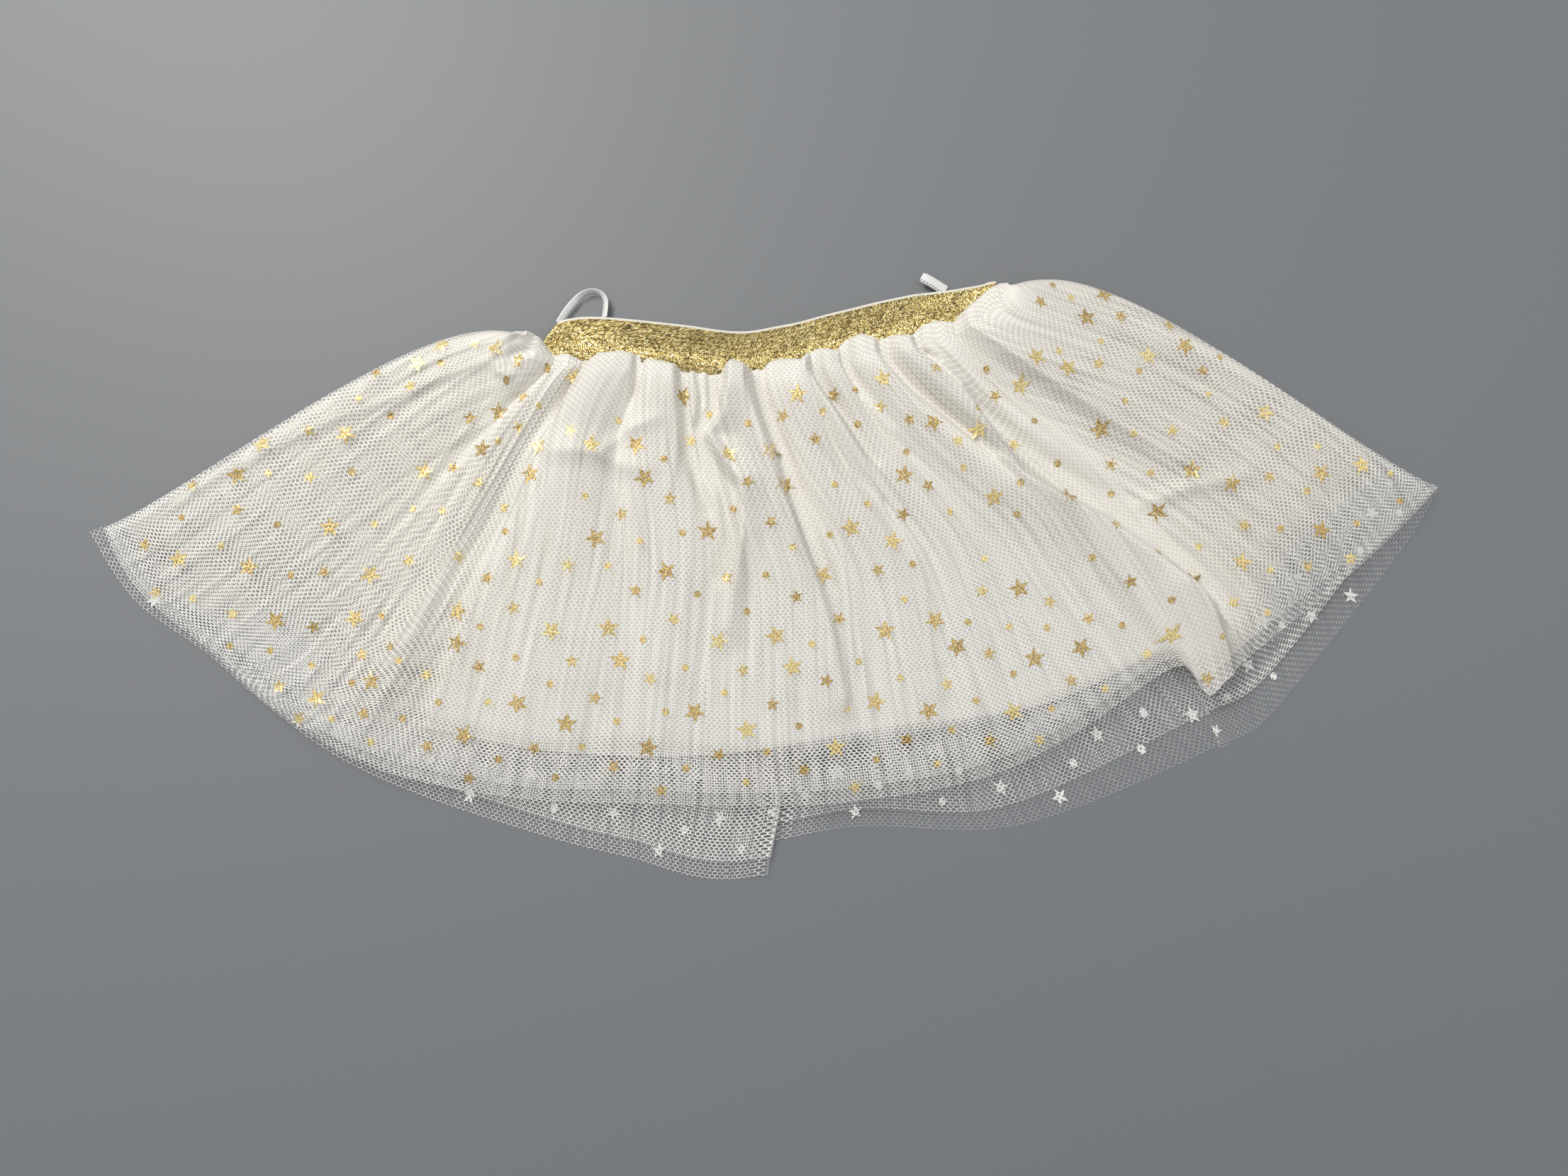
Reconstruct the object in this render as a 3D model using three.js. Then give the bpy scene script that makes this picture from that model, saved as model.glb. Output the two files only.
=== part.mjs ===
// A child's tulle skirt laid flat on a table, front side up.
// Millimetres, +Z up, waist towards +Y, hem towards -Y, table top at z = 0.
// Each piece a maker cuts and sews is one closed cloth wall with its own name.
import * as THREE from 'three';

// ---------- driving sizes ----------
const CLOTH = 1.2;          // wall of one layer of cloth
const CLEAR = 0.4;          // air between one layer and the next
const LAYER = CLOTH + CLEAR;
const STRIPS = 42;          // strips across a full layer
const ROWS_FLAT = 6;        // rows from waist to hem on the layers that lie flat
// Rows from waist to hem on the two front layers, close together where they puff.
const FRONT_ROWS = [0.04, 0.09, 0.15, 0.23, 0.33, 0.44, 0.56, 0.69, 0.82, 0.92];
const FRONT_PLAIN_HEM = 0.965;  // the plain front layer is cut this much shorter
const BACK_HEM_ROW = 0.9;   // the last row of the back layers runs on below the front hem
const PLAIN_SHORTER = 8;    // the plain back layer is cut this much shorter
const PLAIN_INSET = 0.1;    // and this much narrower at each side, in grain lines
const SEAM_AIR = 0.4;       // air at the waist seam, below the elastic
const SEAM_TURN = 1.0;      // the gathered layers start this far below the seam line

const BAND_HEIGHT = 25;     // gold elastic, one inch wide
const BAND_WALL = 1.8;      // its thickness
const BAND_LIFT = 3.4;      // how far the gathers raise its lower edge
const BAND_STRIPS = STRIPS;  // the same strips, so that the seam edges match
const BAND_ROWS = 3;
const BAND_FIRST = 1.5;     // grain lines where the band ends, left
const BAND_LAST = 12.9;     // and right: beyond them the tulle turns up round its ends
const BAND_LEVEL = { first: 3.0, last: 11.8 };  // outside these the band runs straight
const BAND_TURN = 0.6;      // how much thinner the front half is where it folds, at each end

const RIBBON_WIDTH = 3.6;   // satin hanging ribbon, standing on its edge
const RIBBON_WALL = 1.0;
const RIBBON_BASE = 0.8;    // height of its lower edge over the table
const LOOP_STEPS = 22;      // steps along the standing loop
const TAB_STEPS = 8;        // steps along the folded end

// ---------- the fan ----------
// One row for each grain line, left to right. A grain line runs from the waist seam over
// the gathered puff and the middle of the skirt to the hem of the printed front.
// drop: how far the printed back shows below that hem.
const FAN = [
  { waist: [-110, 107], puff: [-128, 118], mid: [-214, 83], hem: [-302, 29], drop: 9 },
  { waist: [-109, 102], puff: [-127, 104], mid: [-202, 59], hem: [-282, -2], drop: 7 },
  { waist: [-103, 98.5], puff: [-119, 90], mid: [-180, 26], hem: [-249, -29], drop: 5 },
  { waist: [-93, 99.5], puff: [-108, 80], mid: [-157, -1], hem: [-217, -56], drop: 5 },
  { waist: [-83, 101], puff: [-98, 76], mid: [-137, 0], hem: [-170, -82], drop: 5 },
  { waist: [-66, 100], puff: [-75, 75], mid: [-93, -8], hem: [-108, -94], drop: 14 },
  { waist: [-40, 97], puff: [-42, 68], mid: [-50, -12], hem: [-57, -96], drop: 25 },
  { waist: [-13, 94], puff: [-12, 65], mid: [-14, -17], hem: [-14, -96], drop: 31 },
  { waist: [14, 98], puff: [21, 68], mid: [32, -12], hem: [40, -94], drop: 16 },
  { waist: [41, 105], puff: [55, 75], mid: [83, -4], hem: [106, -81], drop: 26 },
  { waist: [66, 111], puff: [85, 85], mid: [133, 18], hem: [178, -41], drop: 39 },
  { waist: [79, 113], puff: [98, 91], mid: [152, 31], hem: [196, -47], drop: 25 },
  { waist: [94, 115], puff: [110, 98], mid: [172, 44], hem: [220, -27], drop: 31 },
  { waist: [106.5, 118.5], puff: [124, 119], mid: [204, 83], hem: [269, 12], drop: 15 },
  { waist: [110, 128], puff: [127, 143], mid: [215, 106], hem: [306, 47], drop: 2 },
];
const NODE_AT = { waist: 0, puff: 0.15, mid: 0.55, hem: 1 };
const LAST = FAN.length - 1;

// The back is folded over once, so its hem steps up by fall across this narrow strip.
const PLEAT = { left: 7.40, right: 7.48, fall: 17, reach: 1.4 };

// Grain lines of the lining, an A-line underskirt that is cut narrower than the tulle.
// backDrop: how far the back half of the lining shows below its front half.
const LINING = [
  { waist: [-101, 100], hem: [-151, -54], backDrop: 9 },
  { waist: [-60, 99], hem: [-90, -51], backDrop: 22 },
  { waist: [-13, 93], hem: [-22, -52], backDrop: 22 },
  { waist: [30, 101], hem: [50, -50], backDrop: 23 },
  { waist: [67, 110], hem: [125, -46], backDrop: 20 },
  { waist: [100, 117], hem: [196, -4], backDrop: 12 },
];

// The grain lines of the tulle that the side edges of the lining lie under. Outside them,
// and below hem, the front sinks onto the back over slope grain lines.
const LINING_REACH = { left: 4.2, right: 2.1, turn: 0.16, margin: 1.3, slope: 0.8, hem: 1.05 };

// Folds of the printed front. Each row is one ridge: where it starts and ends across the
// fan (in grain lines), its half width there, and its height at the puff, middle and hem.
const FOLDS = [
  { at: 0.5, to: 0.6, half: 0.8, puff: 7.0, mid: 2.5, hem: 1.0 },
  { at: 2.1, to: 1.9, half: 0.7, puff: 5.0, mid: 2.0, hem: 1.5 },
  { at: 3.3, to: 3.3, half: 0.5, puff: 4.0, mid: 3.5, hem: 2.0 },
  { at: 4.8, to: 4.7, half: 0.5, puff: 6.0, mid: 4.0, hem: 2.0 },
  { at: 5.6, to: 5.6, half: 0.4, puff: 5.5, mid: 2.0, hem: 1.5 },
  { at: 6.3, to: 6.2, half: 0.4, puff: 7.0, mid: 4.0, hem: 1.5 },
  { at: 7.2, to: 7.1, half: 0.4, puff: 7.0, mid: 4.5, hem: 2.5 },
  { at: 8.0, to: 7.9, half: 0.4, puff: 6.5, mid: 4.0, hem: 2.5 },
  { at: 8.8, to: 8.7, half: 0.4, puff: 5.5, mid: 3.5, hem: 2.0 },
  { at: 9.6, to: 9.4, half: 0.4, puff: 6.0, mid: 3.0, hem: 2.5 },
  { at: 10.4, to: 10.9, half: 0.6, puff: 7.5, mid: 6.5, hem: 4.5 },
  { at: 12.0, to: 12.2, half: 0.5, puff: 6.5, mid: 4.5, hem: 2.0 },
  { at: 13.2, to: 13.3, half: 0.8, puff: 6.0, mid: 5.0, hem: 2.5 },
];

// ---------- small helpers ----------
const clamp01 = (t) => Math.min(1, Math.max(0, t));
const mix = (a, b, t) => a + (b - a) * t;
const smooth = (t) => {
  const s = clamp01(t);
  return s * s * (3 - 2 * s);
};

// Catmull-Rom through a table, so that the rows are joined by one smooth curve.
function across(table, u, read) {
  const i = Math.min(table.length - 2, Math.max(0, Math.floor(u)));
  const t = u - i;
  const row = (k) => read(table[Math.min(table.length - 1, Math.max(0, k))]);
  const a = row(i - 1);
  const b = row(i);
  const c = row(i + 1);
  const d = row(i + 2);
  const linear = (c - a) * t;
  const square = (2 * a - 5 * b + 4 * c - d) * t * t;
  const cubic = (3 * b - a - 3 * c + d) * t * t * t;
  return 0.5 * (2 * b + linear + square + cubic);
}

// A cubic through the four named points of a grain line.
function alongGrain(u, v, axis) {
  const names = Object.keys(NODE_AT);
  let sum = 0;
  for (const name of names) {
    let weight = 1;
    for (const other of names) {
      if (other !== name) {
        weight *= (v - NODE_AT[other]) / (NODE_AT[name] - NODE_AT[other]);
      }
    }
    sum += weight * across(FAN, u, (row) => row[name][axis]);
  }
  return sum;
}

// The point on grain line u, at v from the waist (0) to the front hem (1), and then
// straight on for extra millimetres.
function fanPoint(u, v, extra = 0) {
  const x = alongGrain(u, v, 0);
  const y = alongGrain(u, v, 1);
  const dx = alongGrain(u, v, 0) - alongGrain(u, v - 0.02, 0);
  const dy = alongGrain(u, v, 1) - alongGrain(u, v - 0.02, 1);
  const step = Math.hypot(dx, dy);
  return [x + (dx / step) * extra, y + (dy / step) * extra];
}

// How far the printed back shows below the front hem, with its one folded step.
function backDrop(u) {
  const rows = across(FAN, u, (row) => row.drop);
  const middle = (PLEAT.left + PLEAT.right) / 2;
  const near = Math.max(0, 1 - Math.abs(u - middle) / PLEAT.reach);
  const side = u < middle ? 0.5 : -0.5;
  return rows + PLEAT.fall * side * near;
}

// Grain line of strip edge s on the back layers: two edges are moved to the folded step.
function backLine(s, first, last) {
  const u = mix(first, last, s);
  const reach = (last - first) / STRIPS / 2;
  if (Math.abs(u - PLEAT.left) <= reach) {
    return PLEAT.left;
  }
  if (Math.abs(u - PLEAT.left - 2 * reach) <= reach) {
    return PLEAT.right;
  }
  return u;
}

// ---------- heights of the stack ----------
// 1 where the lining lies below the front, 0 at the sides and hem where it doesn't.
function overLining(u, v) {
  const leftEdge = LINING_REACH.left * (1 - Math.exp(-v / LINING_REACH.turn));
  const rightEdge = LAST - LINING_REACH.right * (1 - Math.exp(-v / LINING_REACH.turn));
  const left = smooth((u - leftEdge + LINING_REACH.margin) / LINING_REACH.slope);
  const right = smooth((rightEdge + LINING_REACH.margin - u) / LINING_REACH.slope);
  const below = smooth((LINING_REACH.hem - v) / 0.12);
  return left * right * below;
}

function foldHeight(u, v) {
  let height = 0;
  for (const fold of FOLDS) {
    const middle = mix(fold.at, fold.to, v);
    const away = Math.abs(u - middle) / fold.half;
    const shape = away < 1 ? 0.5 + 0.5 * Math.cos(Math.PI * away) : 0;
    const tall = v < NODE_AT.mid
      ? mix(fold.puff, fold.mid, smooth((v - NODE_AT.puff) / (NODE_AT.mid - NODE_AT.puff)))
      : mix(fold.mid, fold.hem, smooth((v - NODE_AT.mid) / (1 - NODE_AT.mid)));
    height = Math.max(height, tall * shape);
  }
  return height * smooth((v + 0.1) / 0.16);
}

// Underside of a front layer. level is its place in the stack with the lining below it.
function frontUnderside(u, v, level) {
  const low = (level - 2) * LAYER;
  const full = level * LAYER;
  return mix(low, full, overLining(u, v)) + foldHeight(u, v);
}

// ---------- closed walls ----------
// A wall between two grids of points: below[i][j] and above[i][j].
function closedWall(below, above) {
  const lines = below.length;
  const along = below[0].length;
  const positions = [];
  const add = (grid) => grid.forEach((line) => line.forEach((p) => positions.push(...p)));
  add(below);
  add(above);
  const low = (i, j) => i * along + j;
  const high = (i, j) => lines * along + i * along + j;
  const index = [];
  const quad = (a, b, c, d) => index.push(a, b, c, a, c, d);
  for (let i = 0; i < lines - 1; i += 1) {
    for (let j = 0; j < along - 1; j += 1) {
      quad(high(i, j), high(i, j + 1), high(i + 1, j + 1), high(i + 1, j));
      quad(low(i, j), low(i + 1, j), low(i + 1, j + 1), low(i, j + 1));
    }
  }
  for (let i = 0; i < lines - 1; i += 1) {
    quad(low(i, 0), high(i, 0), high(i + 1, 0), low(i + 1, 0));
    quad(high(i, along - 1), low(i, along - 1), low(i + 1, along - 1), high(i + 1, along - 1));
  }
  for (let j = 0; j < along - 1; j += 1) {
    quad(low(0, j), low(0, j + 1), high(0, j + 1), high(0, j));
    quad(high(lines - 1, j), high(lines - 1, j + 1), low(lines - 1, j + 1), low(lines - 1, j));
  }
  const geometry = new THREE.BufferGeometry();
  geometry.setAttribute('position', new THREE.Float32BufferAttribute(positions, 3));
  geometry.setIndex(index);
  geometry.computeVertexNormals();
  return geometry;
}

// A cloth layer from a function that gives the underside point of (i, j).
function clothLayer(strips, rows, underside, wall = CLOTH) {
  const below = [];
  const above = [];
  for (let i = 0; i <= strips; i += 1) {
    below.push([]);
    above.push([]);
    for (let j = 0; j <= rows; j += 1) {
      const [x, y, z] = underside(i / strips, j / rows);
      below[i].push([x, y, z]);
      above[i].push([x, y, z + wall]);
    }
  }
  return closedWall(below, above);
}

// Where a layer starts on its grain line, one millimetre below the waist seam.
const seamStart = (u) => SEAM_TURN / Math.hypot(
  alongGrain(u, 1, 0) - alongGrain(u, 0, 0),
  alongGrain(u, 1, 1) - alongGrain(u, 0, 1),
);

// How far the puffs of the printed front tumble over the elastic, in millimetres.
function scallop(u) {
  const inside = smooth((u - 2.6) / 1.2) * smooth((LAST - 1.8 - u) / 1.2);
  return inside * (2.2 + 0.75 * foldHeight(u, NODE_AT.puff));
}

// ---------- the pieces ----------
function printedBack() {
  return clothLayer(STRIPS, ROWS_FLAT, (s, t) => {
    const u = backLine(s, 0, LAST);
    const start = seamStart(u);
    const v = mix(start, 1, Math.min(1, t / BACK_HEM_ROW));
    const extra = t > BACK_HEM_ROW ? backDrop(u) : 0;
    return [...fanPoint(u, v, extra), 0];
  });
}

function plainBack() {
  return clothLayer(STRIPS, ROWS_FLAT, (s, t) => {
    const u = backLine(s, PLAIN_INSET, LAST - PLAIN_INSET);
    const start = seamStart(u);
    const v = mix(start, 1, Math.min(1, t / BACK_HEM_ROW));
    const extra = t > BACK_HEM_ROW ? Math.max(0, backDrop(u) - PLAIN_SHORTER) : 0;
    return [...fanPoint(u, v, extra), LAYER];
  });
}

function liningHalf(level, dropShare) {
  const last = LINING.length - 1;
  return clothLayer(STRIPS / 2, ROWS_FLAT, (s, t) => {
    const k = s * last;
    const seam = [0, 1].map((axis) => across(LINING, k, (row) => row.waist[axis]));
    const hem = [0, 1].map((axis) => across(LINING, k, (row) => row.hem[axis]));
    const length = Math.hypot(hem[0] - seam[0], hem[1] - seam[1]);
    const drop = dropShare * across(LINING, k, (row) => row.backDrop);
    const w = mix(0.02, 1 + drop / length, t);
    return [mix(seam[0], hem[0], w), mix(seam[1], hem[1], w), level * LAYER];
  });
}

// A front layer on the rows of the grain that levels(u) lists, waist to hem.
function frontLayer(place, levels) {
  const rows = levels(0).length - 1;
  return clothLayer(STRIPS, rows, (s, t) => {
    const u = s * LAST;
    const v = levels(u)[Math.round(t * rows)];
    return [...fanPoint(u, v), frontUnderside(u, v, place)];
  });
}

const plainRows = (u) => [seamStart(u), ...FRONT_ROWS, FRONT_PLAIN_HEM];

const printedRows = (u) => [-scallop(u) * seamStart(u), ...plainRows(u), 1];

// A point of the waistband: on grain line u, rise millimetres above the waist seam.
function bandPoint(u, rise) {
  const level = Math.min(BAND_LEVEL.last, Math.max(BAND_LEVEL.first, u));
  const over = alongGrain(level + 0.5, 0, 0) - alongGrain(level - 0.5, 0, 0);
  const ahead = alongGrain(level + 0.5, 0, 1) - alongGrain(level - 0.5, 0, 1);
  const size = Math.hypot(over, ahead);
  const x = alongGrain(u, 0, 0) - (ahead / size) * rise;
  const y = alongGrain(u, 0, 1) + (over / size) * rise;
  return { point: [x, y], way: [over / size, ahead / size] };
}

// One half of the waistband. side is 0 for the back half and 1 for the front half.
function bandHalf(side) {
  const below = [];
  const above = [];
  for (let i = 0; i <= BAND_STRIPS; i += 1) {
    const s = i / BAND_STRIPS;
    const u = mix(BAND_FIRST, BAND_LAST, s);
    const fromEnd = Math.min(s, 1 - s) * BAND_STRIPS;
    const wall = BAND_WALL - side * BAND_TURN * (1 - smooth(fromEnd / 1.5));
    below.push([]);
    above.push([]);
    for (let j = 0; j <= BAND_ROWS; j += 1) {
      const w = 1 - j / BAND_ROWS;
      const { point } = bandPoint(u, mix(SEAM_AIR, BAND_HEIGHT, w));
      const bottom = BAND_LIFT * (1 - smooth(w)) + side * (BAND_WALL + CLEAR);
      below[i].push([...point, bottom]);
      above[i].push([...point, bottom + wall]);
    }
  }
  return closedWall(below, above);
}

// A place near the top edge of the band: over millimetres along it from grain line u,
// and out millimetres away from it.
function offBand(u, over, out) {
  const { point, way } = bandPoint(u, BAND_HEIGHT);
  return [point[0] + way[0] * over - way[1] * out, point[1] + way[1] * over + way[0] * out];
}

// The left hanging ribbon leaves the elastic, loops over and goes back in.
const LOOP_LINE = 3.4;
const LOOP_ROUTE = [
  { over: -3.5, out: 0.6 },
  { over: 0.5, out: 4.6 },
  { over: 4.8, out: 8.6 },
  { over: 8.8, out: 11.4 },
  { over: 13.2, out: 12.4 },
  { over: 17.2, out: 10.4 },
  { over: 19.0, out: 6.0 },
  { over: 17.6, out: 0.5 },
];

function hangingLoop() {
  const places = LOOP_ROUTE.map(({ over, out }) => offBand(LOOP_LINE, over, out));
  const curve = new THREE.CatmullRomCurve3(places.map(([x, y]) => new THREE.Vector3(x, y, 0)));
  const below = [];
  const above = [];
  for (let i = 0; i <= LOOP_STEPS; i += 1) {
    const point = curve.getPoint(i / LOOP_STEPS);
    const way = curve.getTangent(i / LOOP_STEPS);
    below.push([]);
    above.push([]);
    for (const hand of [0.5, -0.5]) {
      const x = point.x - way.y * RIBBON_WALL * hand;
      const y = point.y + way.x * RIBBON_WALL * hand;
      below[i].push([x, y, RIBBON_BASE]);
      above[i].push([x, y, RIBBON_BASE + RIBBON_WIDTH]);
    }
  }
  return closedWall(below, above);
}

// The right hanging ribbon is folded double into a short end that leans to the left.
const TAB = { line: 11.25, root: 0.4, length: 9.6, lean: -4.2, half: 2.6, rise: 1.6 };

function foldedEnd() {
  const below = [];
  const above = [];
  for (const hand of [-1, 1]) {
    const low = [];
    const high = [];
    for (let j = TAB_STEPS; j >= 0; j -= 1) {
      const w = j / TAB_STEPS;
      const half = TAB.half * Math.sqrt(1 - 0.75 * smooth((w - 0.55) / 0.45));
      const [x, y] = offBand(TAB.line, TAB.lean * w + half * hand, TAB.root + TAB.length * w);
      const z = RIBBON_BASE + TAB.rise * smooth(w);
      low.push([x, y, z]);
      high.push([x, y, z + 2 * RIBBON_WALL]);
    }
    below.push(low);
    above.push(high);
  }
  return closedWall(below, above);
}

// ---------- finishes ----------
const finish = (hex, roughness, metalness = 0) => {
  return new THREE.MeshStandardMaterial({ color: hex, roughness, metalness, side: THREE.DoubleSide });
};
const PRINTED_TULLE = finish('#efe9dc', 0.75);
const PLAIN_TULLE = finish('#eeece6', 0.8);
const LINING_KNIT = finish('#f1ede4', 0.85);
const GOLD_ELASTIC = finish('#b8933f', 0.35, 0.8);
const SATIN = finish('#e9e7e2', 0.4);

const skirt = new THREE.Group();
const addPiece = (name, geometry, material) => {
  const piece = new THREE.Mesh(geometry, material);
  piece.name = name;
  skirt.add(piece);
};

addPiece('tulle_back_printed', printedBack(), PRINTED_TULLE);
addPiece('tulle_back_plain', plainBack(), PLAIN_TULLE);
addPiece('lining_back', liningHalf(2, 1), LINING_KNIT);
addPiece('lining_front', liningHalf(3, 0), LINING_KNIT);
addPiece('tulle_front_plain', frontLayer(4, plainRows), PLAIN_TULLE);
addPiece('tulle_front_printed', frontLayer(5.65, printedRows), PRINTED_TULLE);
addPiece('waistband_back', bandHalf(0), GOLD_ELASTIC);
addPiece('waistband_front', bandHalf(1), GOLD_ELASTIC);
addPiece('hanger_loop_left', hangingLoop(), SATIN);
addPiece('hanger_loop_right', foldedEnd(), SATIN);

export default skirt;
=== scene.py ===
# %% [markdown]
# # A tulle skirt with gold stars, laid flat
#
# The skirt is a tube of sheer net over an opaque A-line lining, gathered onto a wide gold
# elastic. It lies on a table with its front up, spread out in a fan. Each cloth layer here
# is one thin surface over the rigid wall that stands for it in the collision model.

# %% Load the frame
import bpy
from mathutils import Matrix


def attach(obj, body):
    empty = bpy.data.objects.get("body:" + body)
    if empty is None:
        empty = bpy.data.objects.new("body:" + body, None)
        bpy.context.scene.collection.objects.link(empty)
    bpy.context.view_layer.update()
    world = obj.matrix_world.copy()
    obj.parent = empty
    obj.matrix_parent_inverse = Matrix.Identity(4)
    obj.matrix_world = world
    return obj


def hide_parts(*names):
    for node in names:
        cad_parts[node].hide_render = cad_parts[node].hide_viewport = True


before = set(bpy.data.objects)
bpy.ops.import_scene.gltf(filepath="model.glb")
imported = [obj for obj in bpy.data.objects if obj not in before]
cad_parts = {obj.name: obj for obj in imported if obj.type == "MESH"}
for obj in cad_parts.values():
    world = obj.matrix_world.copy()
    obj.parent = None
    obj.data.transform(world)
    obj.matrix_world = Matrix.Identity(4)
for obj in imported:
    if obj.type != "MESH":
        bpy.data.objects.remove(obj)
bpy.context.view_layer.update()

import math

import bpy
import numpy as np

MM = 0.001
print("CAD nodes:", len(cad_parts))

# %% [markdown]
# The camera comes first, because every fold is judged through it. It hangs about half a
# metre over the table and leans back by six degrees, as a person holds a phone.

# %% The camera
LEAN = math.radians(6)
camera = bpy.data.objects.new("camera", bpy.data.cameras.new("camera"))
camera.data.lens = 27.05
camera.data.sensor_width = 36
camera.location = (7.1 * MM, -56.03 * MM, 533.06 * MM)
camera.rotation_euler = (LEAN, 0, 0)
camera.data.clip_start = 0.01
bpy.context.scene.collection.objects.link(camera)
bpy.context.scene.camera = camera
print("camera height in metres:", round(camera.location.z, 3))

# %% [markdown]
# Sheer net needs soft light with one clear side, or its folds vanish. A wide lamp at the
# upper left gives each pleat a bright and a shaded flank. A weak one opposite and an even
# sky keep the shadows open.

# %% Lamps and sky
LAMPS = [
    # name, place in metres, width, power, colour
    ("key_lamp", (-0.68, 0.88, 1.15), 0.7, 19.2, (1.0, 0.98, 0.94)),
    ("fill_lamp", (1.1, 0.2, 1.3), 1.0, 3.2, (0.97, 0.98, 1.0)),
]


def aim(thing, place, target=(0, 0, 0)):
    """Puts a lamp at a place and turns it towards the target."""
    thing.location = place
    way = [b - a for a, b in zip(place, target)]
    flat = math.hypot(way[0], way[1])
    thing.rotation_euler = (math.atan2(flat, -way[2]), 0, math.atan2(-way[0], way[1]))


for lamp_name, lamp_place, lamp_width, lamp_power, lamp_colour in LAMPS:
    lamp = bpy.data.objects.new(lamp_name, bpy.data.lights.new(lamp_name, "AREA"))
    lamp.data.size = lamp_width
    lamp.data.energy = lamp_power
    lamp.data.color = lamp_colour
    aim(lamp, lamp_place)
    bpy.context.scene.collection.objects.link(lamp)

sky = bpy.data.worlds.new("studio_sky")
sky.use_nodes = True
sky.node_tree.nodes["Background"].inputs["Color"].default_value = (0.97, 0.98, 1.0, 1)
sky.node_tree.nodes["Background"].inputs["Strength"].default_value = 0.455
bpy.context.scene.world = sky
bpy.context.scene.view_settings.view_transform = "Standard"
print("lamps:", len(LAMPS))

# %% [markdown]
# Shader maths is easier to read as Python than as a web of wires. `Wire` wraps a socket,
# so that `1 - mask` or `x * 0.5` adds the Math node. Every other node comes from `node`,
# which sets what the node is before it fills its sockets.

# %% A small language for shaders
def node(tree, kind, settings=None, inputs=None):
    """Adds a node: first its settings, then the values or wires of its sockets."""
    made = tree.nodes.new(kind)
    for key, value in (settings or {}).items():
        if key == "stops":
            elements = made.color_ramp.elements
            while len(elements) < len(value):
                elements.new(0.5)
            for element, (place, colour) in zip(elements, value):
                element.position = place
                element.color = (*colour, 1)
        else:
            setattr(made, key, value)
    fill(made, inputs or {})
    return made


def fill(made, inputs):
    """Gives each named socket of a node its value, or the wire that ends there."""
    for key, value in inputs.items():
        if isinstance(value, Wire):
            made.id_data.links.new(value.socket, made.inputs[key])
        else:
            made.inputs[key].default_value = value


class Wire:
    """One socket that Python's operators work on."""

    def __init__(self, socket):
        self.socket = socket

    def math(self, operation, *others, swap=False):
        tree = self.socket.id_data
        values = (others[0], self) if swap else (self, *others)
        made = node(tree, "ShaderNodeMath", {"operation": operation}, dict(enumerate(values)))
        return Wire(made.outputs[0])

    def __add__(self, other):
        return self.math("ADD", other)

    __radd__ = __add__

    def __sub__(self, other):
        return self.math("SUBTRACT", other)

    def __rsub__(self, other):
        return self.math("SUBTRACT", other, swap=True)

    def __mul__(self, other):
        return self.math("MULTIPLY", other)

    __rmul__ = __mul__

    def __truediv__(self, other):
        return self.math("DIVIDE", other)

    def __gt__(self, other):
        return self.math("GREATER_THAN", other)

    def __lt__(self, other):
        return self.math("LESS_THAN", other)


def start_material(name):
    """A material with a Principled shader and its output, and nothing else."""
    made = bpy.data.materials.new(name)
    made.use_nodes = True
    return made, made.node_tree, made.node_tree.nodes["Principled BSDF"]


def cloth_place(tree):
    """Where a point lies on the flat cloth: millimetres across it and up from its hem."""
    flat = node(tree, "ShaderNodeUVMap", {"uv_map": "cloth"})
    parts = node(tree, "ShaderNodeSeparateXYZ", inputs={"Vector": Wire(flat.outputs["UV"])})
    return Wire(flat.outputs["UV"]), Wire(parts.outputs["X"]), Wire(parts.outputs["Y"])


def painted(tree, name):
    """A number that was stored at each point of the mesh."""
    return Wire(node(tree, "ShaderNodeAttribute", {"attribute_name": name}).outputs["Fac"])


# The Mix node has sockets for several kinds of value. These are the ones for colours.
COLOUR_A, COLOUR_B, COLOUR_OUT = 6, 7, 2


def blend(tree, share, low, high):
    """A colour between two others."""
    made = node(tree, "ShaderNodeMix", {"data_type": "RGBA"}, {"Factor": share})
    for key, value in ((COLOUR_A, low), (COLOUR_B, high)):
        fill(made, {key: value if isinstance(value, Wire) else (*value, 1)})
    return Wire(made.outputs[COLOUR_OUT])


def noise(tree, flat, scale, detail, **more):
    """Soft random grey over the flat cloth."""
    made = node(tree, "ShaderNodeTexNoise", {"noise_dimensions": "2D"},
                {"Vector": flat, "Scale": scale, "Detail": detail, **more})
    return Wire(made.outputs["Fac"])


def waves(along, pitch):
    """A sine that repeats every pitch millimetres."""
    return (along * (2 * math.pi / pitch)).math("SINE")


def bumps(tree, height, strength, depth_mm):
    """The normal of a surface that is raised by a height."""
    made = node(tree, "ShaderNodeBump", None,
                {"Height": height, "Strength": strength, "Distance": depth_mm * MM})
    return Wire(made.outputs["Normal"])


def ramp_colour(tree, tone, stops):
    made = node(tree, "ShaderNodeValToRGB", {"stops": stops}, {"Fac": tone})
    return Wire(made.outputs["Color"])


print("shader helpers ready")

# %% [markdown]
# The table is plain and pale, so that the net's own transparency can be read against it.

# %% The table
TABLE_SIZE = 30.0
table_mesh = bpy.data.meshes.new("table_top")
half = TABLE_SIZE / 2
UNDER_CLOTH = -0.0002
corners = [(-half, -half), (half, -half), (half, half), (-half, half)]
table_mesh.from_pydata([(x, y, UNDER_CLOTH) for x, y in corners], [], [(0, 1, 2, 3)])
table_top = bpy.data.objects.new("table_top", table_mesh)
bpy.context.scene.collection.objects.link(table_top)
table_paint, _, table_shader = start_material("table_paint")
fill(table_shader, {"Base Color": (0.188, 0.198, 0.210, 1), "Roughness": 0.55})
table_mesh.materials.append(table_paint)
print("table:", TABLE_SIZE, "m wide")

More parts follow.
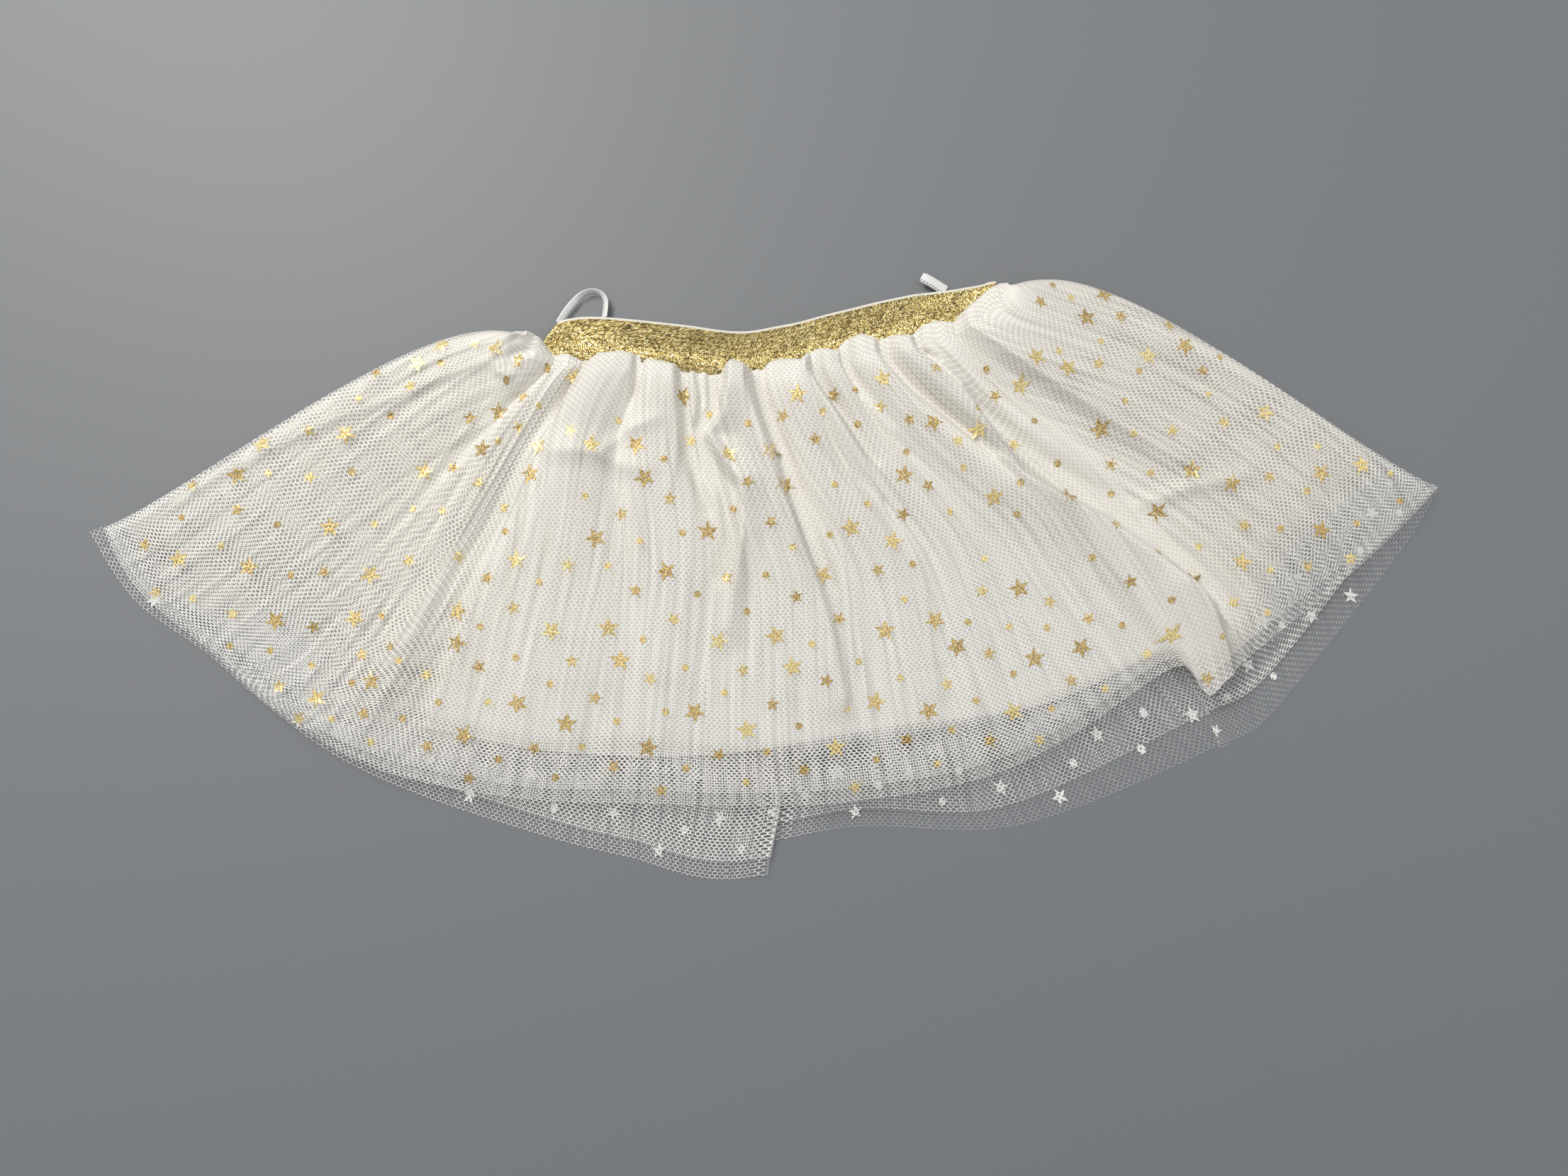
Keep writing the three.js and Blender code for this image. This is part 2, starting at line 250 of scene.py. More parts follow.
# %% [markdown]
# Net doesn't hang from the waist in straight columns: each grain line leaves the gathers,
# swells over the puff and runs out to the hem. Four points fix each line, and smooth
# curves join line to line. The same map then places every layer, fold and star, which is
# why it is worth having before any mesh. The places in this table, of the creases and of the
# puffs' edge were picked one by one. A small program turned most of them into millimetres
# through the camera, and some were then changed by hand.

# %% The fan of grain lines
FAN_COLUMNS = (
    "waist_x", "waist_y", "puff_x", "puff_y", "middle_x", "middle_y", "hem_x", "hem_y", "drop",
)
FAN_ROWS = [
    (-110, 107, -128, 118, -214, 83, -302, 29, 9),
    (-109, 102, -127, 104, -202, 59, -282, -2, 7),
    (-103, 98.5, -119, 90, -180, 26, -249, -29, 5),
    (-93, 99.5, -108, 80, -157, -1, -217, -56, 5),
    (-83, 101, -98, 76, -137, 0, -170, -82, 5),
    (-66, 100, -75, 75, -93, -8, -108, -94, 14),
    (-40, 97, -42, 68, -50, -12, -57, -96, 25),
    (-13, 94, -12, 65, -14, -17, -14, -97, 28),
    (14, 98, 21, 68, 32, -12, 40, -95, 16),
    (41, 105, 55, 75, 83, -4, 106, -81, 26),
    (66, 111, 85, 85, 133, 18, 178, -41, 39),
    (79, 113, 98, 91, 152, 31, 196, -47, 25),
    (94, 115, 110, 98, 172, 44, 220, -27, 31),
    (106.5, 118.5, 124, 119, 204, 83, 269, 12, 15),
    (110, 128, 127, 143, 215, 106, 306, 47, 2),
]
FAN = dict(zip(FAN_COLUMNS, np.array(FAN_ROWS, float).T))
STATIONS = {"waist": 0.0, "puff": 0.15, "middle": 0.55, "hem": 1.0}
LAST = len(FAN_ROWS) - 1


def across(column, u):
    """A smooth curve through one column of a table, read at row u."""
    first = np.clip(np.floor(u).astype(int), 0, len(column) - 2)
    t = u - first

    def row(step):
        return column[np.clip(first + step, 0, len(column) - 1)]

    a, b, c, d = row(-1), row(0), row(1), row(2)
    square = (2 * a - 5 * b + 4 * c - d) * t**2
    cubic = (3 * b - a - 3 * c + d) * t**3
    return 0.5 * (2 * b + (c - a) * t + square + cubic)


def fan_point(u, v, extra=0.0):
    """Grain line u at v from the waist (0) to the hem (1), then extra millimetres on."""
    u, v = np.broadcast_arrays(np.asarray(u, float), np.asarray(v, float))

    def read(at):
        place = [0.0, 0.0]
        for name, station in STATIONS.items():
            weight = 1.0
            for other in STATIONS.values():
                if other != station:
                    weight = weight * (at - other) / (station - other)
            place[0] = place[0] + weight * across(FAN[name + "_x"], u)
            place[1] = place[1] + weight * across(FAN[name + "_y"], u)
        return place

    x, y = read(v)
    back_x, back_y = read(v - 0.02)
    step = np.hypot(x - back_x, y - back_y)
    return x + (x - back_x) / step * extra, y + (y - back_y) / step * extra


def smooth(t):
    s = np.clip(t, 0, 1)
    return s * s * (3 - 2 * s)


def mix(a, b, t):
    return a + (b - a) * t


def ramp(t, at, reach):
    """0 before at and 1 a reach further on. A negative reach runs the other way."""
    return smooth((t - at) / reach)


def bell(t, at, reach):
    """1 at its middle, fading softly to both sides."""
    return np.exp(-(((t - at) / reach) ** 2))


STEP = {"at": 7.37, "fall": 14.0, "reach": 1.4, "wide": 2.0, "lap": 3.2, "lift": 1.0, "lean": 0.3}
END_LIFT = np.array([
    # grain line, millimetres at the waist
    (0, 9), (0.5, 10.5), (1, 11.5), (2, 8.5), (2.5, 4), (3, 1), (3.5, 0), (11.1, 0),
    (11.5, 1.5), (12, 5.5), (12.5, 10), (13, 13.5), (13.5, 13), (14, 11),
])
LIFT_FADE = 13.0


def cloth_point(u, v, extra=0.0):
    """A point of the net: the fan, lifted at both ends of the band, where it piles up."""
    x, y = fan_point(u, np.clip(v, 0.0, 1.0), extra)
    lean = np.clip(1 - np.abs(u - STEP["at"]) / 1.5, 0, 1) * extra * STEP["lean"]
    x = x - lean
    run = np.maximum(v, 0) * grain_length(u)
    return x, y + np.interp(u, *END_LIFT.T) * np.exp(-run / LIFT_FADE)


FINE = np.linspace(0, LAST, 1401)
hem_x, hem_y = fan_point(FINE, 1.0)
HEM_RUN = np.concatenate([[0], np.cumsum(np.hypot(np.diff(hem_x), np.diff(hem_y)))])
grain_x, grain_y = fan_point(FINE[:, None], np.linspace(0, 1, 21)[None, :])
GRAIN_RUN = np.hypot(np.diff(grain_x, axis=1), np.diff(grain_y, axis=1)).sum(axis=1)


def hem_run(u):
    """Millimetres along the hem from the left side fold to grain line u."""
    return np.interp(u, FINE, HEM_RUN)


def grain_length(u):
    return np.interp(u, FINE, GRAIN_RUN)


print("front hem:", round(HEM_RUN[-1]), "mm, grain:", round(GRAIN_RUN.mean()), "mm")

# %% [markdown]
# The layers lie on each other, so each has a level in the stack. The front ones rise over
# the lining and sink onto the back where it ends.

# %% Levels of the stack
LAYER = 1.6
HALF_WALL = 0.6
REACH = {"left": 4.2, "right": 2.1, "turn": 0.16, "margin": 1.3, "slope": 0.8, "hem": 1.05}


def over_lining(u, v):
    """1 where the lining lies below the front, and 0 at the sides, where it doesn't."""
    turned = 1 - np.exp(-np.maximum(v, 0) / REACH["turn"])
    left = smooth((u - REACH["left"] * turned + REACH["margin"]) / REACH["slope"])
    edge = LAST - REACH["right"] * turned
    right = smooth((edge + REACH["margin"] - u) / REACH["slope"])
    return left * right * smooth((REACH["hem"] - v) / 0.12)


def front_level(u, v, place):
    low, full = (place - 2) * LAYER, place * LAYER
    return mix(low, full, over_lining(u, v)) + HALF_WALL


print("front level over the lining:", round(float(front_level(7.0, 0.5, 5.65)), 1), "mm")

# %% [markdown]
# Folds in net are soft on one side and crisp on the other. Each is a line across the
# table: a crest lifts the cloth along it and a dip presses it down, with its own reach to
# the left (west) and right (east). Heights are at its start, middle and end,
# so that no two folds run alike.

# %% Creases of the front
CREASES = [
    # name, west reach, east reach, heights, line
    ("lining_side", 17, 9, (-3, -3.0, -1.4),
     [(-87, 103), (-100, 81), (-112, 61), (-122, 38), (-134, 9), (-146, -27), (-156, -55)]),
    ("lining_side_crest", 9, 20, (2, 2.6, 1.6),
     [(-80, 98), (-92, 78), (-105, 58), (-115, 36), (-127, 9), (-139, -27), (-149, -55)]),
    ("left_curl", 3, 3, (2.5, 3, 1.5),
     [(-104, 112), (-113, 113), (-120, 110), (-124, 103), (-122, 96), (-116, 94)]),
    ("left_pocket", 5, 5, (-2, -2.5, -1.5), [(-109, 106), (-115, 104), (-117, 100)]),
    ("gather_1", 3, 4, (-6, -4, -0.5), [(-58, 105), (-60, 94), (-61, 85), (-62, 76)]),
    ("gather_2", 5, 3.4, (-7, -5.0, -1.5),
     [(-39, 101), (-38, 88), (-37, 76), (-36, 60), (-32, 47), (-27, 34)]),
    ("gather_2_crest", 8, 3, (2, 2, 0.5), [(-42, 97), (-40, 77), (-41, 56), (-43, 44)]),
    ("gather_3", 2.4, 2.4, (-4, -2.5, -0.2), [(-32, 97), (-30, 86), (-32, 73)]),
    ("gather_4", 2.4, 2.4, (-4, -2.5, -0.2), [(-26, 96), (-25, 86), (-27, 73)]),
    ("swan_crest", 4, 12, (5, 7.5, 3.0),
     [(-17, 95), (-18, 88), (-20, 78), (-27, 68), (-21, 58), (-12, 46), (-11, 26), (-14, 6),
      (-18, -19)]),
    ("swan_dip", 8, 4, (-6, -5.5, -2.0),
     [(-22, 95), (-24, 78), (-32, 67), (-26, 55), (-17, 43), (-15, 24), (-19, 5)]),
    ("gather_5", 3, 6, (-7, -4.5, -2.0),
     [(-7, 99), (-4, 86), (0, 73), (7, 56), (12, 38), (18, 19), (27, 0)]),
    ("crest_5", 14, 4, (4.0, 4.6, 3.4),
     [(-12, 96), (-5, 74), (2, 56), (8, 38), (15, 19), (22, 0), (29, -23), (34, -50)]),
    ("crest_6", 15, 4, (5, 4.8, 2.0), [(14, 103), (22, 88), (31, 74), (42, 56), (50, 40)]),
    ("gather_6", 3, 7, (-7, -5.0, -2), [(17, 106), (25, 90), (35, 75), (46, 57)]),
    ("gather_7", 3, 6, (-6, -3.4, -0.8), [(32, 108), (37, 97), (45, 86), (56, 73)]),
    ("gather_8", 4, 8, (-7, -4.5, -2.0),
     [(49, 113), (55, 102), (66, 90), (82, 76), (101, 60)]),
    ("gather_9", 4, 3, (-7, -6, -3), [(66, 116), (69, 108), (76, 103)]),
    ("long_crest", 30, 5, (4.5, 9.0, 7.5),
     [(69, 108), (79, 99), (87, 91), (97, 72), (113, 49), (132, 38), (148, 30), (171, 13),
      (186, 1), (196, -9)]),
    ("long_dip", 5, 15, (-4, -5, -3.5),
     [(74, 106), (85, 96), (94, 86), (101, 76), (109, 65), (120, 55), (137, 44), (155, 34),
      (176, 18), (192, 7), (202, -4)]),
    ("corner_roll", 16, 5, (4.5, 5, 5), [(188, 0), (196, -14), (204, -34), (206, -44)]),
    ("hem_lift", 9, 9, (0.5, 3.0, 3.5), [(140, -68), (160, -56), (183, -42)]),
    ("upper_crest", 6, 17, (5, 6.5, 3),
     [(84, 122), (105, 106), (126, 92), (143, 81), (156, 73), (171, 64), (184, 56)]),
    ("cross_crest", 7, 7, (1.2, 3.0, 1.2), [(164, 34), (172, 38), (190, 45), (208, 47), (216, 51)]),
    ("soft_bar", 8, 12, (1.4, 3.2, 1.2), [(-97, 60), (-79, 60), (-66, 54), (-56, 52)]),
    ("soft_bar_2", 6, 6, (1.4, 2.4, 1.0), [(-74, 60), (-63, 70), (-49, 75)]),
    ("left_edge_crest", 5, 6, (0.8, 2, 2.2),
     [(-296, 24), (-266, 40), (-231, 60), (-197, 76), (-168, 86), (-143, 96), (-127, 101)]),
]


def along_line(x, y, line):
    """Signed distance from a line (east is +) and the share of its length there."""
    points = np.array(line, float)
    lengths = np.hypot(*np.diff(points, axis=0).T)
    nearest = np.full(x.shape, 1e9)
    side = np.zeros(x.shape)
    share = np.zeros(x.shape)
    run = 0.0
    for (ax, ay), (bx, by), length in zip(points[:-1], points[1:], lengths):
        way_x, way_y = (bx - ax) / length, (by - ay) / length
        along = np.clip((x - ax) * way_x + (y - ay) * way_y, 0, length)
        off_x, off_y = x - ax - along * way_x, y - ay - along * way_y
        distance = np.hypot(off_x, off_y)
        closer = distance < nearest
        nearest = np.where(closer, distance, nearest)
        side = np.where(closer, np.sign(off_y * way_x - off_x * way_y), side)
        share = np.where(closer, (run + along) / lengths.sum(), share)
        run += length
    return nearest, side, share


def crease_height(x, y):
    """What all the creases add up to at a place on the table."""
    height = np.zeros(x.shape)
    for _, west, east, (start, middle, end), line in CREASES:
        distance, side, share = along_line(x, y, line)
        reach = np.where(side > 0, east, west)
        shape = np.clip(1 - distance / reach, 0, 1)
        shape = shape * shape * (3 - 2 * shape) if start < 0 else shape**1.5
        tall = np.interp(share, [0, 0.5, 1], [start, middle, end])
        height += tall * shape
    return height


print("creases:", len(CREASES))

# %% [markdown]
# Between the main folds the net is full of fine pleats that fan out from the gathers. They
# are too many to place one by one, so a seeded draw scatters them along the grain, each
# with its own place, width, height and length.

# %% Fine pleats
PLEAT_COUNT = 190
pleat_draw = np.random.default_rng(41)


def draw_pleats(count, most_height):
    """One row for each fine pleat, in a fixed random order."""
    return {
        "at": pleat_draw.uniform(0, HEM_RUN[-1], count),
        "half": pleat_draw.uniform(1.6, 5.5, count),
        "tall": pleat_draw.uniform(0.25, 1.0, count) ** 1.4 * most_height,
        "start": pleat_draw.uniform(-0.3, 0.75, count),
        "long": pleat_draw.uniform(0.2, 0.9, count),
        "drift": pleat_draw.normal(0, 7, count),
        "phase": pleat_draw.uniform(0, 6, count),
    }


def pleat_height(run, v, pleats):
    height = np.zeros(run.shape)
    for at, half, tall, start, long, drift, phase in zip(*pleats.values()):
        off = np.abs(run - at - drift * v - 1.6 * np.sin(6 * v + phase)) / half
        inside = np.clip(1 - off, 0, 1)
        t = np.clip((v - start) / long, 0, 1)
        height += tall * inside**1.3 * np.sin(np.pi * t) ** 0.8
    return height


FRONT_PLEATS = draw_pleats(PLEAT_COUNT, 1.5)
UNDER_PLEATS = draw_pleats(120, 0.9)
BACK_PLEATS = draw_pleats(110, 0.7)
print("fine pleats of the front:", PLEAT_COUNT)

# %% [markdown]
# The gathers open into rounded flutes that run down from the waist, each between two
# valleys. The valleys drift to the right on their way down, as the fan opens.

# %% Flutes below the waist
VALLEYS = [
    # grain line at the waist, and halfway down
    (-0.3, -0.3), (2.6, 2.3), (3.9, 4.25), (5.3, 5.55), (6.07, 6.7), (6.32, 6.95),
    (6.52, 7.2), (7.22, 7.95), (7.4, 8.15), (8.12, 8.8), (8.72, 9.4), (9.42, 10.1),
    (10.05, 10.75), (11.4, 11.7), (14.3, 14.3),
]
FLUTE = {"most": 7.0, "per_width": 8.5, "start": 0.6, "climb": 7.0, "middle": 0.32, "hem": 0.14}


def flute_height(u, v):
    """Rounded backs between the valleys."""
    drift = smooth(v / 0.5)
    u = u + 0.1 * np.sin(7 * v + 2.3 * u) * smooth(v / 0.2)
    height = np.zeros(np.shape(u))
    steepness = mix(0.6, 1.1, smooth(v / 0.35))
    for (left, left_mid), (right, right_mid) in zip(VALLEYS[:-1], VALLEYS[1:]):
        west, east = mix(left, left_mid, drift), mix(right, right_mid, drift)
        share = np.clip((u - west) / (east - west), 0, 1)
        tall = np.minimum(FLUTE["most"], FLUTE["per_width"] * (right - left))
        height = np.maximum(height, tall * (1 - (2 * share - 1) ** 2) ** steepness)
    run = np.maximum(v, 0) * grain_length(u)
    climb = FLUTE["start"] + (1 - FLUTE["start"]) * (1 - np.exp(-run / FLUTE["climb"]))
    fade = np.interp(v, [0, 0.12, 0.5, 1.0], [1, 0.9, FLUTE["middle"], FLUTE["hem"]])
    return height * climb * fade


print("flutes:", len(VALLEYS) - 1)

# %% [markdown]
# At the waist the gathers swell up and tumble a little way over the elastic. The line
# below is the edge of those puffs. Each one is full, with a short deep valley on either
# side, so the edge is scalloped.

# %% The puffs over the elastic
PUFF_EDGE = np.array([
    (-111, 116.5), (-107.5, 115.6), (-104, 113.6), (-101, 109.5), (-98.5, 106.2),
    (-91.8, 106.7), (-85, 103.4), (-82.0, 103.0),
    (-77.3, 106.4), (-66.0, 107.7), (-58.8, 106.0), (-57.8, 102.6), (-55.6, 104.2),
    (-48.1, 102.9), (-41.7, 101.1), (-38.1, 96.8), (-34.5, 98.6), (-31.9, 97.4), (-29.5, 98.4),
    (-27.1, 96.8), (-21.9, 97.4), (-20.0, 101.1), (-16.8, 102.9), (-11.0, 101.4),
    (-7.7, 98.8), (-5, 100.0), (-2.9, 99.2), (0.3, 102.7), (5.2, 103.9), (14.9, 103.4),
    (17.4, 106.5), (22.9, 109.5), (31.0, 108.2), (34.9, 113.3), (42.4, 115.9), (50.5, 113.4),
    (55.3, 114.9), (65.1, 114.8), (70.0, 120.0), (76.5, 122.2), (84.6, 121.4), (86.9, 124.3),
    (94.5, 131.0), (102.0, 137.5), (106.0, 139.3), (110.0, 139.4), (114.0, 139.0),
])
SWELL = {"middle": 2.0, "left": 3.0, "right": 2.6, "climb": 5.0, "reach": 58.0, "rest": 0.6}


def swell(u, v):
    """How far the gathers lift the front above its level."""
    run = v * grain_length(u)
    tall = SWELL["middle"]
    tall = mix(tall, SWELL["left"], ramp(u, 3.6, -2.0))
    tall = mix(tall, SWELL["right"], ramp(u, 11.0, 1.5))
    climb = 1 - 0.55 * np.exp(-np.maximum(run, 0) / SWELL["climb"])
    fall = np.exp(-(np.maximum(run, 0) / SWELL["reach"]) ** 1.6)
    return tall * climb * fall + SWELL["rest"] * (1 - fall)


def side_round(u, width=0.5):
    """0 on the side folds, rising to 1 as a quarter circle."""
    off = np.clip(np.minimum(u, LAST - u) / width, 0, 1)
    return np.sqrt(1 - (1 - off) ** 2)


FINE_PLEATS = {"middle": 0.3, "left": 0.6, "right": 0.35, "puff_ends": 0.35}


def front_height(u, v, place, pleats, fold_base):
    """The level, the gathers, flutes and creases on it, and fine pleats on those."""
    x, y = cloth_point(u, v)
    level = front_level(u, v, place)
    fine = (FINE_PLEATS["middle"] + FINE_PLEATS["left"] * ramp(u, 4.6, -1.5)
            + FINE_PLEATS["right"] * ramp(u, 11.2, 1.5))
    puffs = np.maximum(ramp(u, 3.4, -1.0), ramp(u, 11.0, 0.8))
    fine = fine * (1 - puffs * (1 - smooth(v / FINE_PLEATS["puff_ends"])))
    extra = swell(u, v) + flute_height(u, v) + crease_height(x, y)
    extra = np.maximum(extra, 0.1 * swell(u, v))
    extra = extra + pleat_height(hem_run(u), v, pleats) * fine
    return fold_base + (level + extra - fold_base) * side_round(u)


# The front hem steps back and then out to the tip of the folded corner.
HEM_NOTCH = np.array([(9.5, 0), (10.0, -3.5), (10.35, -5.5), (10.96, 2.0), (11.3, -1.0), (12, 0)])
print("puff edge points:", len(PUFF_EDGE))

# %% [markdown]
# Every layer is a grid of points: grain lines across and rows down them. One builder turns
# a grid into a mesh, lays the flat cloth's millimetres on it as a UV map for the net's
# cells, and stores how tightly the cloth is gathered, for the material to read. The table
# of spots makes it denser along the side folds and thinner where less cloth lies.

# %% From a grid to a cloth
def make_piece(name, points, quads, flat, materials, numbers=None, face_material=None):
    """A smooth mesh from arrays: points in millimetres, four corners to a face."""
    mesh = bpy.data.meshes.new(name)
    mesh.vertices.add(len(points))
    mesh.vertices.foreach_set("co", (np.asarray(points) * MM).ravel())
    sizes = np.full(len(quads), quads.shape[1])
    mesh.loops.add(quads.size)
    mesh.loops.foreach_set("vertex_index", quads.ravel().astype(np.int32))
    mesh.polygons.add(len(quads))
    mesh.polygons.foreach_set("loop_start", np.arange(len(quads)) * quads.shape[1])
    mesh.polygons.foreach_set("loop_total", sizes)
    mesh.polygons.foreach_set("use_smooth", np.ones(len(quads), bool))
    if face_material is not None:
        mesh.polygons.foreach_set("material_index", face_material.astype(np.int32))
    layer = mesh.uv_layers.new(name="cloth")
    by_corner = flat if np.ndim(flat) == 3 else np.asarray(flat)[quads]
    layer.data.foreach_set("uv", by_corner.ravel())
    for key, values in (numbers or {}).items():
        stored = mesh.attributes.new(key, "FLOAT", "POINT")
        stored.data.foreach_set("value", np.asarray(values, np.float32).ravel())
    for material in materials:
        mesh.materials.append(material)
    mesh.update(calc_edges=True)
    mesh.validate()
    piece = bpy.data.objects.new(name, mesh)
    bpy.context.scene.collection.objects.link(piece)
    print(name, "-", len(points), "points,", len(quads), "faces")
    return piece


def grid_quads(lines, stops):
    """The faces of a grid of lines by stops, with their upper sides up."""
    index = np.arange(lines * stops).reshape(lines, stops)
    corners_of = (index[:-1, :-1], index[:-1, 1:], index[1:, 1:], index[1:, :-1])
    return np.stack([c.ravel() for c in corners_of], axis=1)


def closed_strip_quads(lines, count):
    """The faces round a closed strip and the caps on its two ends."""
    index = np.arange(lines * count).reshape(lines, count)
    wrap = np.roll(index, -1, axis=1)
    sides = np.stack([index[:-1], wrap[:-1], wrap[1:], index[1:]], axis=-1).reshape(-1, 4)
    caps = []
    for line, turn in ((index[0], 1), (index[-1], -1)):
        for j in range(count // 2 - 1):
            corners = (line[j], line[count - 1 - j], line[count - 2 - j], line[j + 1])
            caps.append(corners[::turn])
    return np.concatenate([sides, np.array(caps)]), len(caps)


def line_run(x, y):
    """Millimetres along a line of points, from its first."""
    return np.concatenate([[0], np.cumsum(np.hypot(np.diff(x), np.diff(y)))])


def grain_columns(count, first=0.0, last=float(LAST)):
    """Grain lines that stand evenly along the hem."""
    return np.interp(np.linspace(hem_run(first), hem_run(last), count), HEM_RUN, FINE)


GATHERS = {"fade": 50.0, "pile": 2.6, "pile_fade": 3.5, "puffs": 1.2, "puff_fade": 40.0,
           "valley": 1.5, "valley_reach": 0.13}
DENSER_SPOTS = [
    # weight, across: shape, grain line, reach, down: shape, place, reach
    (1.2, bell, 3.7, 1.2, ramp, 0.98, -0.5),
    (1.6, bell, 11.1, 0.75, ramp, 0.12, 0.3),
    (0.8, ramp, 10.6, 0.8, ramp, 0.98, -0.2),
    (0.4, ramp, 3.6, -1.0, ramp, 0.98, -0.3),
    (-0.6, ramp, 11.7, 0.8, ramp, 0.72, 0.2),
    (-0.5, bell, 2.5, 0.9, bell, 0.74, 0.24),
    (-0.4, bell, 3.1, 0.5, bell, 0.38, 0.16),
]


def gathered(u, v, sides=0.0):
    """Near 1 where the cloth is bunched, more in a pile of it, and 0 where it lies open."""
    run = v * grain_length(u)
    waist = np.exp(-np.maximum(run, 0) / GATHERS["fade"])
    waist = waist + GATHERS["pile"] * np.exp(-np.maximum(run + 1.5, 0) / GATHERS["pile_fade"])
    puffs = ramp(u, 3.6, -1.5) + 0.8 * ramp(u, 10.6, 1.0)
    waist = waist + GATHERS["puffs"] * puffs * np.exp(-np.maximum(run, 0) / GATHERS["puff_fade"])
    spots = 0.0
    for weight, shape_u, at_u, reach_u, shape_v, at_v, reach_v in DENSER_SPOTS:
        spots = spots + weight * shape_u(u, at_u, reach_u) * shape_v(v, at_v, reach_v)
    drift = smooth(np.clip(v, 0, 1) / 0.5)
    off_valley = np.min([np.abs(u - mix(*valley, drift)) for valley in VALLEYS], axis=0)
    in_valley = GATHERS["valley"] * bell(off_valley, 0, GATHERS["valley_reach"])
    spots = spots + in_valley * (1 - ramp(v, 0.1, 0.6))
    return (waist + sides * spots) * np.ones(np.shape(u))


print("grid builder ready")

# %% [markdown]
# Gathered net isn't squeezed: its cells keep their size and the spare cloth goes out of
# sight between the flutes. So the flat cloth is laid on flute by flute. Across, a point
# counts the millimetres from the back of its own flute, and the next flute starts afresh.

# %% The flat cloth, flute by flute
ACROSS_STEPS, DOWN_STEPS = 700, 60
FLUTE_APART = 43.7
grid_u = np.linspace(0, LAST, ACROSS_STEPS + 1)[:, None]
grid_v = np.linspace(0, 1, DOWN_STEPS + 1)[None, :]
grid_x, grid_y = fan_point(grid_u, grid_v)
over_x, over_y = np.gradient(grid_x, axis=0), np.gradient(grid_y, axis=0)
down_x, down_y = np.gradient(grid_x, axis=1), np.gradient(grid_y, axis=1)
spread = np.abs(over_x * down_y - over_y * down_x) / np.hypot(down_x, down_y)
ACROSS_RUN = np.cumsum(spread, axis=0) - spread / 2


def across_run(u, v):
    """Millimetres across the grain from the left side to grain line u, at v."""
    at_u = np.clip(u / LAST, 0, 1) * ACROSS_STEPS
    at_v = np.clip(v, 0, 1) * DOWN_STEPS
    i = np.minimum(at_u.astype(int), ACROSS_STEPS - 1)
    j = np.minimum(at_v.astype(int), DOWN_STEPS - 1)
    s, t = at_u - i, at_v - j
    left = mix(ACROSS_RUN[i, j], ACROSS_RUN[i, j + 1], t)
    right = mix(ACROSS_RUN[i + 1, j], ACROSS_RUN[i + 1, j + 1], t)
    return mix(left, right, s)


def flute_of(u, v, shift=0.0):
    """The number of the flute that a point is on."""
    drift = smooth(np.clip(v, 0, 1) / 0.5)
    number = np.zeros(np.shape(u), int)
    for k, (at_waist, halfway) in enumerate(VALLEYS[1:-1]):
        number = np.where(u > mix(at_waist, halfway, drift) + shift, k + 1, number)
    return number


def flat_cloth(u, v, number, above_hem, shift=0.0):
    """The point's place on the flat cloth, if it belongs to that flute."""
    v = np.clip(v, 0, 1)
    drift = smooth(v / 0.5)
    edges = np.array(VALLEYS)
    middle = (edges[:-1] + edges[1:]) / 2
    back = mix(middle[number, 0], middle[number, 1], drift) + shift
    off = across_run(u, v) - across_run(back, v)
    return np.stack([off + FLUTE_APART * number, above_hem], axis=-1)


def flat_loops(u, v, above_hem, shift=0.0):
    """The same for every corner of every face of a grid."""
    quads = grid_quads(*u.shape)
    u, v, above_hem = u.ravel()[quads], v.ravel()[quads], above_hem.ravel()[quads]
    number = flute_of(u.mean(axis=1), v.mean(axis=1), shift)[:, None] + np.zeros((1, 4), int)
    return flat_cloth(u, v, number, above_hem, shift)


print("widest spread of a flute:", round(float(spread.max() * ACROSS_STEPS / LAST)), "mm")

# %% [markdown]
# Tulle is a net of six-sided cells, wider than they are deep. Real threads at this scale
# would be millions of faces, so the cells are cut out of the surface by its alpha. The
# distance to the wall between two rows of cells gives a thread of one width everywhere,
# and the thread grows where the cloth is gathered, because more layers lie there. Bunched
# net and net with the lining behind it are a soft veil as well, in streaks down the grain,
# so the alpha is whichever of the two is the greater.

# %% Net
CELL = {"across": 2.35, "row": 1.35}
ROOT_3 = math.sqrt(3)
STREAK_SHAPE = (1.0, 0.035, 1.0)
VEIL_MOST = 0.72


def net_walls(x, y):
    """0 at the middle of a cell and 0.5 on the thread between two cells."""
    across_cells = x / CELL["across"]
    up_cells = y / (2 * CELL["row"])
    even_x = (across_cells + 0.5).math("FRACT") - 0.5
    even_y = ((up_cells + 0.5).math("FRACT") - 0.5) * ROOT_3
    odd_x = across_cells.math("FRACT") - 0.5
    odd_y = (up_cells.math("FRACT") - 0.5) * ROOT_3
    even_far = even_x * even_x + even_y * even_y
    odd_far = odd_x * odd_x + odd_y * odd_y
    use_even = even_far < odd_far
    cell_x = (odd_x + use_even * (even_x - odd_x)).math("ABSOLUTE")
    cell_y = (odd_y + use_even * (even_y - odd_y)).math("ABSOLUTE")
    slanted = cell_x * 0.5 + cell_y * (ROOT_3 / 2)
    return cell_x.math("MAXIMUM", slanted)


